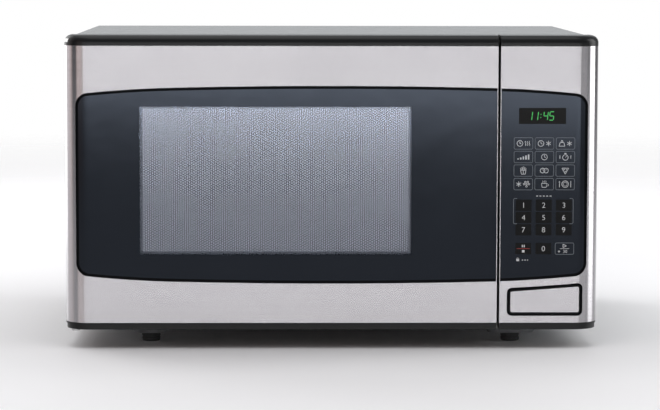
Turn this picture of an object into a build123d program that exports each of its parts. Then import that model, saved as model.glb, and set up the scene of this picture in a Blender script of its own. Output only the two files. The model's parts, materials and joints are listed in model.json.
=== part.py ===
from build123d import *
from math import asin, cos, sin, sqrt
import os

# Countertop microwave oven. Millimetres, +Z up, front towards -Y, door on the left (-X).
# The origin is on the counter, in the middle of the width and of the depth.

# ---- whole oven
WIDTH = 511.0
DEPTH = 394.0
SHEET = 0.8                 # cabinet, cavity and bracket sheet steel
GAP = 0.3                   # running clearance between pieces that move on each other

FRONT_Y = -DEPTH / 2
REAR_Y = DEPTH / 2
HALF_W = WIDTH / 2

# ---- stack of heights, from the counter up
FOOT_H = 8.7
PAD_H = 5.8                 # pressed foot pads under the base plate
BEZEL_RISE = 3.9            # base plate underside to the underside of the door
BOTTOM_TRIM_H = 6.6
SKIN_H = 264.5
TOP_TRIM_H = 10.0
COVER_DROP = 1.0            # the cabinet is this much lower than the door trim

BASE_Z = FOOT_H + PAD_H
BASE_TOP = BASE_Z + SHEET
TRIM_BOTTOM = BASE_Z + BEZEL_RISE
SKIN_BOTTOM = TRIM_BOTTOM + BOTTOM_TRIM_H
SKIN_TOP = SKIN_BOTTOM + SKIN_H
TRIM_TOP = SKIN_TOP + TOP_TRIM_H
COVER_TOP = TRIM_TOP - COVER_DROP
MIDDLE_Z = (SKIN_BOTTOM + SKIN_TOP) / 2

# ---- front moulding shared by the door and the control panel
DOOR_DEPTH = 38.0
DOOR_GAP = 2.0              # closed door to the front frame
CORNER_R = 24.0             # vertical corners, in plan
PANEL_W = 95.1              # control panel
SPLIT_GAP = 2.5             # between door and control panel
SKIN_T = 0.6                # stainless skin
SKIN_LIP = 3.0              # black moulding that shows behind the skin
SKIN_RETURN = 5.0           # skin folded back at the split
WALL = 2.4                  # moulded walls
FRONT_WALL = 7.4            # moulded front, thick enough to seat the curved glass ends
TRIM_FILLET = 7.0
TRIM_STEP = 1.0             # lower trim set back under its lip
TRIM_LIP_H = 1.8

DOOR_BACK = FRONT_Y + DOOR_DEPTH
FRAME_Y = DOOR_BACK + DOOR_GAP
FRAME_BACK = FRAME_Y + SHEET
PANEL_X = HALF_W - PANEL_W
DOOR_X = PANEL_X - SPLIT_GAP
SEAT_Y = FRONT_Y + SKIN_T
WALL_BACK = SEAT_Y + FRONT_WALL
SKIN_BACK = DOOR_BACK - SKIN_LIP

# ---- dark inset that runs across the door and the control panel
INSET_MARGIN = 11.5         # to the side of the oven
INSET_BAND = 37.75          # skin above and below it, at the middle of the width
INSET_BEND = 105.5          # flat arc up to this far from the side, rounder arc beyond
INSET_SAG = 1.8             # rise of the flat arc
INSET_END_R = 1100.0
INSET_CORNER_R = 13.0
RIM_W = 2.8                 # black rim round the glass
RIM_DEPTH = 0.8
GLASS_T = 2.8
GLASS_RECESS = 0.2
GLASS_EDGE = 0.9            # moulding left at the split edge

INSET_HALF_W = HALF_W - INSET_MARGIN
INSET_HALF_H = SKIN_H / 2 - INSET_BAND
INSET_BEND_X = HALF_W - INSET_BEND
GLASS_INSET = SKIN_T + GLASS_RECESS
GLASS_FRONT = FRONT_Y + GLASS_INSET
GLASS_BACK = GLASS_FRONT + GLASS_T

# ---- cooking cavity
CAVITY_MARGIN = 24.5        # to the left side of the oven
BAY_W = 132.5               # to the right side, for the electrical parts
CEILING_DROP = 16.5         # ceiling to the top of the cabinet
REAR_ROOM = 18.2            # to the back of the oven
UNDERFLOOR = 25.9           # room for the turntable motor

FLOOR_Z = BASE_TOP + UNDERFLOOR + SHEET
CEILING_Z = COVER_TOP - CEILING_DROP
CAVITY_LEFT = -HALF_W + CAVITY_MARGIN
CAVITY_RIGHT = HALF_W - BAY_W
CAVITY_BACK = REAR_Y - REAR_ROOM
CAVITY_X = (CAVITY_LEFT + CAVITY_RIGHT) / 2
WALL_OUT = CAVITY_RIGHT + SHEET     # outside of the right cavity wall
TABLE_Y = (FRAME_BACK + CAVITY_BACK) / 2

# ---- cabinet
COVER_INSET = 3.0           # cabinet side to the side of the door
COVER_T = 0.7
COVER_R = 6.0
SPACER_H = 9.0
REAR_FLANGE = 8.0

COVER_HALF = HALF_W - COVER_INSET
COVER_BACK = REAR_Y - SPACER_H + SHEET
REAR_PANEL_Y = COVER_BACK - 2 * SHEET
INNER_HALF = COVER_HALF - COVER_T - 0.2

# ---- window
WINDOW_W = 258.9
WINDOW_H = 141.3
WINDOW_SHIFT = 0.25         # its middle to the middle of the cavity
WINDOW_RISE = 3.95          # its middle above the middle of the skin
SCREEN_T = 0.5
SCREEN_BORDER = 4.0
SCREEN_GAP = 1.5            # behind the moulded front
BOX_BORDER = 12.0           # raised box round the window

WINDOW_X = CAVITY_X + WINDOW_SHIFT
WINDOW_Z = MIDDLE_Z + WINDOW_RISE
SCREEN_Y = WALL_BACK + SCREEN_GAP

# ---- hinge
PIVOT_IN = 9.5              # pivot to the left side of the door
PIVOT_FORWARD = 19.0        # pivot to the back of the door
PIN_R = 2.5
PIN_LENGTH = 20.0
TONGUE_W = 8.0
TONGUE_T = 2.5
REAR_CORNER_R = 6.0
BOSS_R = 7.0
BRACKET_H = 30.0

PIVOT_X = -HALF_W + PIVOT_IN
PIVOT_Y = DOOR_BACK - PIVOT_FORWARD
HINGE_SCREW_X = PIVOT_X + 1
UPPER_TONGUE_Z = SKIN_TOP + 3.2
LOWER_TONGUE_Z = TRIM_BOTTOM - GAP - TONGUE_T
UPPER_PLATE = (UPPER_TONGUE_Z - BRACKET_H, UPPER_TONGUE_Z + TONGUE_T)
LOWER_PLATE = (LOWER_TONGUE_Z, LOWER_TONGUE_Z + BRACKET_H)

# ---- latch and its release
LATCH_LIFT = 4.0
LATCH_W = 12.0
LATCH_BAR_T = 4.0
HOOK_H = 8.0
NOSE_H = 5.0
NOSE_L = 7.0
HOOK_REACH = 26.0           # behind the front frame
HOOK_RISE = 52.0            # lower hook above the lower edge of the skin
HOOK_DROP = 72.5            # upper hook below its upper edge
LATCH_EDGE = 4.9            # latch to the side of the door

LOWER_HOOK_Z = SKIN_BOTTOM + HOOK_RISE
HOOK_PITCH = SKIN_TOP - HOOK_DROP - LOWER_HOOK_Z
LATCH_X1 = DOOR_X - LATCH_EDGE
LATCH_X0 = LATCH_X1 - LATCH_W
BAR_BACK = DOOR_BACK - 9.0
HOOK_TIP = FRAME_Y + HOOK_REACH
HOOK_HEIGHTS = (LOWER_HOOK_Z, LOWER_HOOK_Z + HOOK_PITCH)
BAR_BOTTOM = LOWER_HOOK_Z - 11.0
BAR_TOP = LOWER_HOOK_Z + HOOK_PITCH + 29.0
NOSE_FRONT = HOOK_TIP - NOSE_L
SWING_SHIFT = 2.2           # sideways drift of the hooks as the door starts to swing

LEVER_R = 3.0
LEVER_ARM_W = 5.5
LEVER_REACH = 14.5
LEVER_Y = NOSE_FRONT - 8.0
LEVER_Z = LOWER_HOOK_Z - NOSE_H - GAP - LEVER_R
LEVER_DROP = 25.7
LATCH_SPRING_H = 12.0
SPRING_SEAT_Z = BAR_TOP + LATCH_SPRING_H

# ---- latch housing and its switches
HOUSING_T = 2.5
SWITCH_D = 16.0
SWITCH_H = 28.0
PLUNGER_H = 4.0

HOUSING_X0 = WALL_OUT + 3.2
HOUSING_X1 = LATCH_X1 + 8.5
HOUSING_Z0 = LEVER_Z - 12.7
HOUSING_Z1 = LOWER_HOOK_Z + HOOK_PITCH + 28.0
SWITCH_Y = HOOK_TIP + 2.3

# ---- inside of the door
PLATE_SETBACK = 6.2         # inner steel plate to the back of the door
CHOKE_D = 12.0
COVER_PLATE_T = 2.6         # choke cover

PLATE_Y = DOOR_BACK - PLATE_SETBACK
PLATE_X0 = CAVITY_LEFT - 7.0
PLATE_X1 = LATCH_X0 - 3.0
PLATE_Z0 = FLOOR_Z - 15.0
PLATE_Z1 = CEILING_Z + 11.0

# ---- open button
BUTTON_LEFT = 7.2           # surround to the left edge of the control panel
BUTTON_RIGHT = 15.2         # surround to the right side of the oven
BUTTON_RISE = 6.6           # surround above the lower edge of the skin
BUTTON_LEFT_H = 26.8
BUTTON_RIGHT_H = 32.0
BUTTON_SAG = 0.4
BUTTON_R = 5.0
SURROUND_W = 1.9
SURROUND_DEPTH = 0.4
BUTTON_CLEAR = 0.6
BUTTON_LIP_T = 1.6
BUTTON_TRAVEL = 5.5
STEM_W = 12.0
STEM_TIP_H = 4.0

BUTTON_X0 = PANEL_X + BUTTON_LEFT
BUTTON_X1 = HALF_W - BUTTON_RIGHT
BUTTON_Z0 = SKIN_BOTTOM + BUTTON_RISE
BUTTON_BACK = WALL_BACK + GAP + BUTTON_LIP_T
STEM_X = PANEL_X + 21.6
STEM_Z = LEVER_Z - 21.7
STEM_TIP_Y = LEVER_Y - LEVER_R - GAP
GUIDE_Y = WALL_BACK + 22.0  # guide wall behind the button
GUIDE_T = 2.0
POST_X = PANEL_X + 55.6
POST_R = 2.5
SPRING_R = 4.6
SPRING_WIRE = 0.9

# ---- display and keypad
DISPLAY_W = 44.9
DISPLAY_H = 13.4
DISPLAY_DROP = 65.8         # its middle below the upper edge of the skin
BOARD_T = 1.6
BOARD_SETBACK = 19.0        # board face behind the moulded front
BOARD_RISE = 67.0           # above the lower edge of the skin
BOARD_DROP = 37.5           # below its upper edge

DISPLAY_X = PANEL_X + 39.95
DISPLAY_Z = SKIN_TOP - DISPLAY_DROP
BOARD_X0 = PANEL_X + 8.0
BOARD_X1 = HALF_W - 9.0
BOARD_Z0 = SKIN_BOTTOM + BOARD_RISE
BOARD_Z1 = SKIN_TOP - BOARD_DROP
BOARD_Y = WALL_BACK + BOARD_SETBACK

# ---- turntable
TRAY_CLEAR = 10.0           # tray to the nearest cavity wall
TRAY_T = 5.0
TRAY_RIM_H = 6.0
ROLLER_R = 8.0
ROLLER_W = 6.0
TRACK_SHARE = 0.6           # roller track's radius over the tray's
ROLLERS = 3
RING_SETBACK = 7.5          # ring inside the roller track
RING_W = 6.0
AXLE_R = 1.8
COUPLER_R = 17.0
MOTOR_R = 24.0
MOTOR_H = 15.0
SHAFT_R = 3.5

TRAY_R = min(CAVITY_RIGHT - CAVITY_LEFT, CAVITY_BACK - FRAME_BACK) / 2 - TRAY_CLEAR
ROLLER_TRACK = TRACK_SHARE * TRAY_R
RING_R = ROLLER_TRACK - RING_SETBACK
ROLLER_Z = FLOOR_Z + GAP + ROLLER_R
TRAY_Z = ROLLER_Z + ROLLER_R + GAP

# ---- cooling fan
FAN_SIDE = 70.5             # its axis to the right side of the oven
FAN_DROP = 83.5             # its axis below the top of the cabinet
FAN_R = 52.0
FAN_BLADES = 6
FAN_RING_R = 56.0
SHROUD_SETBACK = 47.0       # to the back of the oven
SHROUD_T = 2.5
FAN_DEPTH = 14.0

FAN_X = HALF_W - FAN_SIDE
FAN_Z = COVER_TOP - FAN_DROP
SHROUD_Y = REAR_Y - SHROUD_SETBACK

# ---- magnetron and its waveguide
WAVEGUIDE_DEPTH = 34.0
MAGNETRON_BACK = 156.2      # its axis behind the front frame
MAGNETRON_DROP = 82.0       # its axis below the cavity ceiling
WAVEGUIDE_H = 64.0
YOKE_L = 48.0
YOKE_HALF = 40.0
YOKE_HALF_Y = 38.0
YOKE_T = 1.6
MAGNET_R = 27.0
MAGNET_T = 12.0
ANODE_R = 19.0
FINS = 5

MAGNETRON_Y = FRAME_BACK + MAGNETRON_BACK
MAGNETRON_Z = CEILING_Z - MAGNETRON_DROP
WAVEGUIDE_Y0 = MAGNETRON_Y - 52.0
WAVEGUIDE_Y1 = MAGNETRON_Y + 48.0
YOKE_Y0, YOKE_Y1 = MAGNETRON_Y - YOKE_HALF_Y, MAGNETRON_Y + YOKE_HALF_Y
YOKE_X = WALL_OUT + WAVEGUIDE_DEPTH
MAGNET_SPANS = ((YOKE_X + YOKE_T, YOKE_X + YOKE_T + MAGNET_T),
                (YOKE_X + YOKE_L - YOKE_T - MAGNET_T, YOKE_X + YOKE_L - YOKE_T))
PORT_Y0, PORT_Y1 = WAVEGUIDE_Y0 + 12, WAVEGUIDE_Y1 - 12
PORT_HALF_H = WAVEGUIDE_H / 2 - 10
DUCT_Y0 = WAVEGUIDE_Y0 - 48

# ---- lamp, filter board and cord inlet
BULB_R = 8.0
LAMP_BASE_R = 7.0
FILTER_POST = 6.0
FILTER_W, FILTER_H = 96.0, 50.0
GROMMET_R = 8.0

LAMP_Y, LAMP_Z = CAVITY_BACK - 76.8, CEILING_Z - 25.0
FILTER_X0, FILTER_Z0 = WALL_OUT + 16.2, BASE_TOP + 84.7
FILTER_X1, FILTER_Z1 = FILTER_X0 + FILTER_W, FILTER_Z0 + FILTER_H
GROMMET_X, GROMMET_Z = HALF_W - 33.5, BASE_Z + 47.5

# ---- screws
SCREW_R = 1.8
COUNTERSINK_R = 3.5
COUNTERSINK_DEPTH = 0.6     # into the hinge bracket
SCREW_HEAD_R = 4.0
SCREW_HEAD_T = 2.4

# ---- high voltage parts on the base plate
CORE_X, CORE_Y = WALL_OUT + 59.2, FRAME_BACK + 100.2
CORE_W, CORE_D, CORE_H = 86.0, 50.0, 76.0
LIMB = 14.0                 # outer limbs and yokes of the laminated core
CENTRE_LIMB = 27.0
COIL_OUT = 14.0             # winding beyond the core, front and back
COIL_GAP = 3.0
CAN_X, CAN_Y = HALF_W - 33.0, CORE_Y + 92.0
CAN_W, CAN_D, CAN_H = 35.0, 52.0, 96.0

# ---- feet
FOOT_X = HALF_W - 79.9
FRONT_FOOT_Y = FRONT_Y + 59.0
REAR_FOOT_Y = REAR_Y - 47.0
FOOT_R = 9.0
STUD_R = 3.0
PAD_WIDTHS = (38.0, 52.0)   # left and right
PAD_D = 34.0
PAD_R = 10.0
PAD_TAPER = 35.0


# ---- helpers

def block(x0, x1, y0, y1, z0, z1):
    """A box between two corners."""
    middle = ((x0 + x1) / 2, (y0 + y1) / 2, (z0 + z1) / 2)
    return Pos(*middle) * Box(x1 - x0, y1 - y0, z1 - z0)


def rod_x(y, z, radius, x0, x1):
    """A round bar along X."""
    return Pos((x0 + x1) / 2, y, z) * Rot(0, 90, 0) * Cylinder(radius, x1 - x0)


def rod_y(x, z, radius, y0, y1):
    """A round bar along Y."""
    return Pos(x, (y0 + y1) / 2, z) * Rot(90, 0, 0) * Cylinder(radius, y1 - y0)


def rod_z(x, y, radius, z0, z1):
    """A round bar along Z."""
    return Pos(x, y, (z0 + z1) / 2) * Cylinder(radius, z1 - z0)


def front_prism(sketch, y_front, y_back):
    """A sketch drawn in width and height, made solid between two depths."""
    plane = Plane((0, y_back, 0), x_dir=(1, 0, 0), z_dir=(0, -1, 0))
    return extrude(plane * sketch, y_back - y_front)


def panel_sketch(x0, x1, z0, z1, radius=0.0):
    """A rectangle in width and height, with rounded corners if a radius is given."""
    middle = Pos((x0 + x1) / 2, (z0 + z1) / 2)
    if radius:
        return middle * RectangleRounded(x1 - x0, z1 - z0, radius)
    return middle * Rectangle(x1 - x0, z1 - z0)


def tray_shell(x0, x1, y0, y1, z0, z1, wall, open_side):
    """A thin box with one open side, named as -x, +x, -y, +y or +z."""
    inner = [x0 + wall, x1 - wall, y0 + wall, y1 - wall, z0 + wall, z1 - wall]
    slot = {"-x": 0, "+x": 1, "-y": 2, "+y": 3, "+z": 5}[open_side]
    inner[slot] += 2 * wall if open_side[0] == "+" else -2 * wall
    return block(x0, x1, y0, y1, z0, z1) - block(*inner)


def coil_spring(radius, wire, length, turns):
    """A coil spring along Z that stands on the XY plane."""
    path = Helix((length - wire) / turns, length - wire, radius)
    start = Plane(path @ 0, z_dir=path % 0)
    return Pos(0, 0, wire / 2) * sweep(start * Circle(wire / 2), path)


# ---- front moulding

def bezel_plan(inset, back):
    """Plan of the rounded front, drawn in from its outside by the inset."""
    half = HALF_W - inset
    front = FRONT_Y + inset
    plan = Pos(0, (front + back) / 2) * Rectangle(2 * half, back - front)
    corners = plan.vertices().group_by(Axis.Y)[0]
    return fillet(corners, CORNER_R - inset)


def bezel_slab(inset, back, z0, z1):
    """The rounded front plan as a slab between two heights."""
    return Pos(0, 0, z0) * extrude(bezel_plan(inset, back), z1 - z0)


def inset_drop(x):
    """How far the long edge of the dark inset falls away from its middle height."""
    flat_r = (INSET_BEND_X ** 2 + INSET_SAG ** 2) / (2 * INSET_SAG)
    if abs(x) <= INSET_BEND_X:
        return flat_r - sqrt(flat_r ** 2 - x ** 2)
    slope = asin(INSET_BEND_X / flat_r)
    centre_x = INSET_BEND_X - INSET_END_R * sin(slope)
    centre_drop = INSET_SAG + INSET_END_R * cos(slope)
    return centre_drop - sqrt(INSET_END_R ** 2 - (abs(x) - centre_x) ** 2)


def inset_outline(inset):
    """The dark inset's outline, drawn in by a rim: two long brows joined by straight sides."""
    half = INSET_HALF_W - inset
    stops = (-half, -INSET_BEND_X, INSET_BEND_X, half)
    edges = []
    for side in (1, -1):
        def on_brow(x):
            return (x, MIDDLE_Z + side * (INSET_HALF_H - inset - inset_drop(x)))
        for a, b in zip(stops, stops[1:]):
            edges.append(ThreePointArc(on_brow(a), on_brow((a + b) / 2), on_brow(b)))
    edge_z = INSET_HALF_H - inset - inset_drop(half)
    for x in (-half, half):
        edges.append(Line((x, MIDDLE_Z - edge_z), (x, MIDDLE_Z + edge_z)))
    face = make_face(edges)
    ends = [v for v in face.vertices() if abs(abs(v.X) - half) < 0.01]
    return fillet(ends, INSET_CORNER_R - inset)


def top_trim(back):
    """The black top trim across the whole width, with its rounded outer edge."""
    trim = bezel_slab(0, back, SKIN_TOP, TRIM_TOP)
    rim = [e for e in trim.edges().group_by(Axis.Z)[-1] if e.center().Y < back - 1]
    return fillet(rim, TRIM_FILLET)


def bezel_housing(x0, x1, back, split_x):
    """Black moulding of the door or the control panel, open at the back."""
    lip_z = SKIN_BOTTOM - TRIM_LIP_H
    shell = bezel_slab(SKIN_T, back, SKIN_BOTTOM, SKIN_TOP)
    shell += bezel_slab(TRIM_STEP, back, TRIM_BOTTOM, lip_z)
    shell += bezel_slab(0, back, lip_z, SKIN_BOTTOM)
    shell += top_trim(back)
    shell += bezel_slab(0, back, SKIN_BOTTOM, SKIN_TOP) & block(
        -WIDTH, WIDTH, SKIN_BACK, back, SKIN_BOTTOM, SKIN_TOP)
    shell &= block(x0, x1, FRONT_Y, back, 0, TRIM_TOP)
    hollow = bezel_slab(SKIN_T + WALL, back, TRIM_BOTTOM + WALL, TRIM_TOP - WALL)
    hollow &= block(x0 + WALL, x1 - WALL, WALL_BACK, back, 0, TRIM_TOP)
    shell -= hollow
    toward = 1 if split_x == x0 else -1
    fold = sorted((split_x, split_x + toward * SKIN_T))
    shell -= block(*fold, FRONT_Y, FRONT_Y + SKIN_RETURN, SKIN_BOTTOM, SKIN_TOP)
    span = block(x0, x1, FRONT_Y, WALL_BACK, 0, TRIM_TOP)
    shell -= front_layer(inset_outline(0), 0, SKIN_T + RIM_DEPTH) & span
    return shell - glass_blank(x0, x1, split_x, 0)


def front_layer(sketch, outer, inner):
    """A sketch's shape cut from the layer between two depths under the rounded front."""
    layer = bezel_slab(outer, DOOR_BACK, SKIN_BOTTOM, SKIN_TOP)
    layer -= bezel_slab(inner, DOOR_BACK, SKIN_BOTTOM, SKIN_TOP)
    return layer & front_prism(sketch, FRONT_Y, WALL_BACK)


def glass_blank(x0, x1, split_x, outer):
    """The dark inset between its rim and the split, from a depth down to its seat."""
    ends = [x0, x1]
    ends[ends.index(split_x)] += GLASS_EDGE if split_x == x0 else -GLASS_EDGE
    span = block(*ends, FRONT_Y, WALL_BACK, 0, TRIM_TOP)
    return front_layer(inset_outline(RIM_W), outer, GLASS_INSET + GLASS_T) & span


def bezel_skin(x0, x1, split_x):
    """Stainless skin that wraps round the corner and folds back at the split."""
    skin = bezel_slab(0, SKIN_BACK, SKIN_BOTTOM, SKIN_TOP)
    skin &= block(x0, x1, FRONT_Y, SKIN_BACK, 0, TRIM_TOP)
    toward = 1 if split_x == x0 else -1
    inner_ends = [x0 - WALL, x1 + WALL]
    inner_ends[(x0, x1).index(split_x)] = split_x + toward * SKIN_T
    core = bezel_slab(SKIN_T, SKIN_BACK, SKIN_BOTTOM, SKIN_TOP)
    skin -= core & block(*inner_ends, FRONT_Y, SKIN_BACK, 0, TRIM_TOP)
    fold = sorted((split_x, split_x + toward * SKIN_T))
    skin -= block(*fold, FRONT_Y + SKIN_RETURN, SKIN_BACK, 0, TRIM_TOP)
    return skin - front_layer(inset_outline(0), 0, SKIN_T)


# ---- door

def door_housing():
    """Door moulding with its hinge bosses and the pocket for the upper hinge."""
    body = bezel_housing(-HALF_W, DOOR_X, DOOR_BACK, DOOR_X)
    boss_top = UPPER_TONGUE_Z - 0.7
    bosses = rod_z(PIVOT_X, PIVOT_Y, BOSS_R, TRIM_BOTTOM, LOWER_TONGUE_Z + TONGUE_T + PIN_LENGTH + 2)
    bosses += rod_z(PIVOT_X, PIVOT_Y, BOSS_R, boss_top - PIN_LENGTH - 2, TRIM_TOP - WALL)
    body += bosses & bezel_slab(SKIN_T + WALL / 2, DOOR_BACK, TRIM_BOTTOM, TRIM_TOP)
    swing = TONGUE_W / 2 + GAP + 4.0
    body -= block(-HALF_W, PIVOT_X + BOSS_R, PIVOT_Y - swing, DOOR_BACK,
                  boss_top, UPPER_TONGUE_Z + TONGUE_T + 0.8)
    for z0, z1 in ((TRIM_BOTTOM, TRIM_BOTTOM + PIN_LENGTH + 1), (boss_top - PIN_LENGTH, boss_top)):
        body -= rod_z(PIVOT_X, PIVOT_Y, PIN_R + GAP, z0, z1)
    body -= front_prism(window_sketch(SCREEN_BORDER + 2), SEAT_Y, WALL_BACK)
    corner = block(-HALF_W, -HALF_W + REAR_CORNER_R, DOOR_BACK - REAR_CORNER_R, DOOR_BACK,
                   TRIM_BOTTOM, TRIM_TOP)
    corner -= rod_z(-HALF_W + REAR_CORNER_R, DOOR_BACK - REAR_CORNER_R, REAR_CORNER_R,
                    TRIM_BOTTOM, TRIM_TOP)
    return body - corner


def window_sketch(border):
    """The window, grown by a border."""
    half_w = WINDOW_W / 2 + border
    half_h = WINDOW_H / 2 + border
    return panel_sketch(WINDOW_X - half_w, WINDOW_X + half_w, WINDOW_Z - half_h, WINDOW_Z + half_h)


def door_plate():
    """Inner steel plate: choke flange round the edge, window box raised towards the front."""
    plate = block(PLATE_X0, PLATE_X1, PLATE_Y - CHOKE_D, PLATE_Y, PLATE_Z0, PLATE_Z1)
    plate -= block(PLATE_X0 + SHEET, PLATE_X1 - SHEET, PLATE_Y - CHOKE_D, PLATE_Y - SHEET,
                   PLATE_Z0 + SHEET, PLATE_Z1 - SHEET)
    plate += front_prism(window_sketch(BOX_BORDER), SCREEN_Y, PLATE_Y)
    plate -= front_prism(window_sketch(BOX_BORDER - SHEET), SCREEN_Y + SHEET, PLATE_Y)
    plate -= front_prism(window_sketch(-SCREEN_BORDER / 2), SCREEN_Y - SHEET, PLATE_Y)
    return plate - choke_slots()


def choke_slots():
    """Comb slots along the choke flange."""
    slot_w, pitch, depth = 3.0, 20.0, CHOKE_D - 3.0
    y0, y1 = PLATE_Y - CHOKE_D, PLATE_Y - CHOKE_D + depth
    cuts = []
    for i in range(int((PLATE_X1 - PLATE_X0) / pitch)):
        x = PLATE_X0 + pitch * (i + 0.5)
        for z in (PLATE_Z0, PLATE_Z1):
            cuts.append(block(x, x + slot_w, y0, y1, z - 2 * SHEET, z + 2 * SHEET))
    for i in range(int((PLATE_Z1 - PLATE_Z0) / pitch)):
        z = PLATE_Z0 + pitch * (i + 0.5)
        for x in (PLATE_X0, PLATE_X1):
            cuts.append(block(x - 2 * SHEET, x + 2 * SHEET, y0, y1, z, z + slot_w))
    return cuts


def window_screen():
    """Perforated sheet over the window, on the front of the raised box."""
    return front_prism(window_sketch(SCREEN_BORDER), SCREEN_Y - SCREEN_T, SCREEN_Y)


def inner_film():
    """Clear film over the back of the window box."""
    return front_prism(window_sketch(BOX_BORDER + 6), PLATE_Y, PLATE_Y + SCREEN_T)


def choke_cover():
    """Black cover over the back of the door, with guides for the latch."""
    inner = SKIN_T + WALL + GAP
    y0, y1 = DOOR_BACK - COVER_PLATE_T, DOOR_BACK
    left = -HALF_W + BOSS_R + PIVOT_IN + 1
    plate = block(left, DOOR_X - WALL - GAP, y0, y1, TRIM_BOTTOM + inner, TRIM_TOP - inner)
    plate += front_prism(window_sketch(BOX_BORDER + 5), PLATE_Y + SCREEN_T, y0)
    plate -= front_prism(window_sketch(BOX_BORDER - 3), PLATE_Y, y1)
    for z in HOOK_HEIGHTS:
        plate -= block(LATCH_X0 - 0.5, LATCH_X1 + 0.5, y0, y1,
                       z - NOSE_H - 0.5, z + HOOK_H + LATCH_LIFT + 0.6)
    guide_front = BAR_BACK - LATCH_BAR_T - GAP
    for x0, x1 in ((LATCH_X0 - 2.5, LATCH_X0 - 0.5), (LATCH_X1 + 0.5, DOOR_X - WALL - GAP)):
        plate += block(x0, x1, guide_front, y0, BAR_BOTTOM - 2, SPRING_SEAT_Z + 2)
    for z in (BAR_BOTTOM - 2 - GAP, SPRING_SEAT_Z):
        plate += block(LATCH_X0 - 0.5, LATCH_X1 + 0.5, guide_front, y0, z, z + 2)
    return plate


def door_latch():
    """Latch bar with two hooks, sliding up and down inside the door."""
    bar = block(LATCH_X0, LATCH_X1, BAR_BACK - LATCH_BAR_T, BAR_BACK, BAR_BOTTOM, BAR_TOP)
    for z in HOOK_HEIGHTS:
        bar += block(LATCH_X0, LATCH_X1, BAR_BACK, HOOK_TIP, z, z + HOOK_H)
        bar += block(LATCH_X0, LATCH_X1, NOSE_FRONT, HOOK_TIP, z - NOSE_H, z)
    rounding = [e for e in bar.edges().filter_by(Axis.X) if abs(e.center().Y - HOOK_TIP) < 0.01]
    return fillet(rounding, 1.5)


def latch_spring():
    """Spring that holds the latch down."""
    spring = coil_spring(3.0, 0.8, LATCH_SPRING_H - 2 * GAP, 6)
    y = BAR_BACK - LATCH_BAR_T / 2
    return Pos((LATCH_X0 + LATCH_X1) / 2, y, BAR_TOP + GAP) * spring


# ---- hinges

def hinge(tongue_z, pin_z0, pin_z1, plate_z0, plate_z1):
    """Bracket behind the front frame with a tongue that carries the hinge pin."""
    half = TONGUE_W / 2
    tongue = block(PIVOT_X - half, PIVOT_X + half, PIVOT_Y, FRAME_BACK + TONGUE_T,
                   tongue_z, tongue_z + TONGUE_T)
    tongue += rod_z(PIVOT_X, PIVOT_Y, half, tongue_z, tongue_z + TONGUE_T)
    tongue += rod_z(PIVOT_X, PIVOT_Y, PIN_R, pin_z0, pin_z1)
    plate = block(PIVOT_X - half - 1, PIVOT_X + half + 4, FRAME_BACK, FRAME_BACK + TONGUE_T,
                  plate_z0, plate_z1)
    for z in screw_heights(plate_z0, plate_z1):
        plate -= rod_y(HINGE_SCREW_X, z, COUNTERSINK_R, FRAME_BACK, FRAME_BACK + COUNTERSINK_DEPTH)
        plate -= rod_y(HINGE_SCREW_X, z, SCREW_R, FRAME_BACK, FRAME_BACK + TONGUE_T)
    return tongue + plate


def screw_heights(z0, z1):
    """Heights of a hinge bracket's two screws."""
    return (z0 + (z1 - z0) * 0.3, z0 + (z1 - z0) * 0.7)


def upper_hinge():
    """Upper hinge: its pin points down."""
    return hinge(UPPER_TONGUE_Z, UPPER_TONGUE_Z - PIN_LENGTH + 1, UPPER_TONGUE_Z, *UPPER_PLATE)


def lower_hinge():
    """Lower hinge: its pin points up."""
    top = LOWER_TONGUE_Z + TONGUE_T
    return hinge(LOWER_TONGUE_Z, top, top + PIN_LENGTH - 1, *LOWER_PLATE)


def hinge_screws():
    """Countersunk screws through the front frame into the hinge brackets."""
    screws = []
    for plate in (UPPER_PLATE, LOWER_PLATE):
        for z in screw_heights(*plate):
            head = rod_y(HINGE_SCREW_X, z, COUNTERSINK_R, FRAME_Y, FRAME_BACK + COUNTERSINK_DEPTH)
            screws.append(head + rod_y(HINGE_SCREW_X, z, SCREW_R, FRAME_BACK, FRAME_BACK + 8))
    return screws


# ---- cabinet

def front_frame():
    """Front frame: openings for the cavity, the control panel, the hooks and the hinges."""
    frame = front_prism(panel_sketch(-COVER_HALF, COVER_HALF, BASE_Z, COVER_TOP), FRAME_Y, FRAME_BACK)
    tops = [e for e in frame.edges().filter_by(Axis.Y) if e.center().Z > COVER_TOP - 1]
    frame = fillet(tops, COVER_R)
    mouth = panel_sketch(CAVITY_LEFT, CAVITY_RIGHT, FLOOR_Z, CEILING_Z)
    frame -= front_prism(mouth, FRAME_Y, FRAME_BACK)
    frame -= block(PANEL_X + 5.6, HALF_W - 9.5, FRAME_Y, FRAME_BACK,
                   BASE_TOP + 14.7, SKIN_TOP - 3.5)
    frame -= hook_slots(FRAME_Y, FRAME_BACK)
    half = TONGUE_W / 2 + 0.2
    for z in (UPPER_TONGUE_Z, LOWER_TONGUE_Z):
        frame -= block(PIVOT_X - half, PIVOT_X + half, FRAME_Y, FRAME_BACK,
                       z - 0.2, z + TONGUE_T + 0.2)
    for plate in (UPPER_PLATE, LOWER_PLATE):
        for z in screw_heights(*plate):
            frame -= rod_y(HINGE_SCREW_X, z, COUNTERSINK_R, FRAME_Y, FRAME_BACK)
    return frame


def hook_slots(y0, y1):
    """Slots that let the hooks in, and let them rise and drift as the door swings."""
    return [block(LATCH_X0 - 0.6, LATCH_X1 + SWING_SHIFT + 0.8, y0, y1,
                  z - NOSE_H - 1, z + HOOK_H + LATCH_LIFT + 0.8) for z in HOOK_HEIGHTS]


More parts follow.
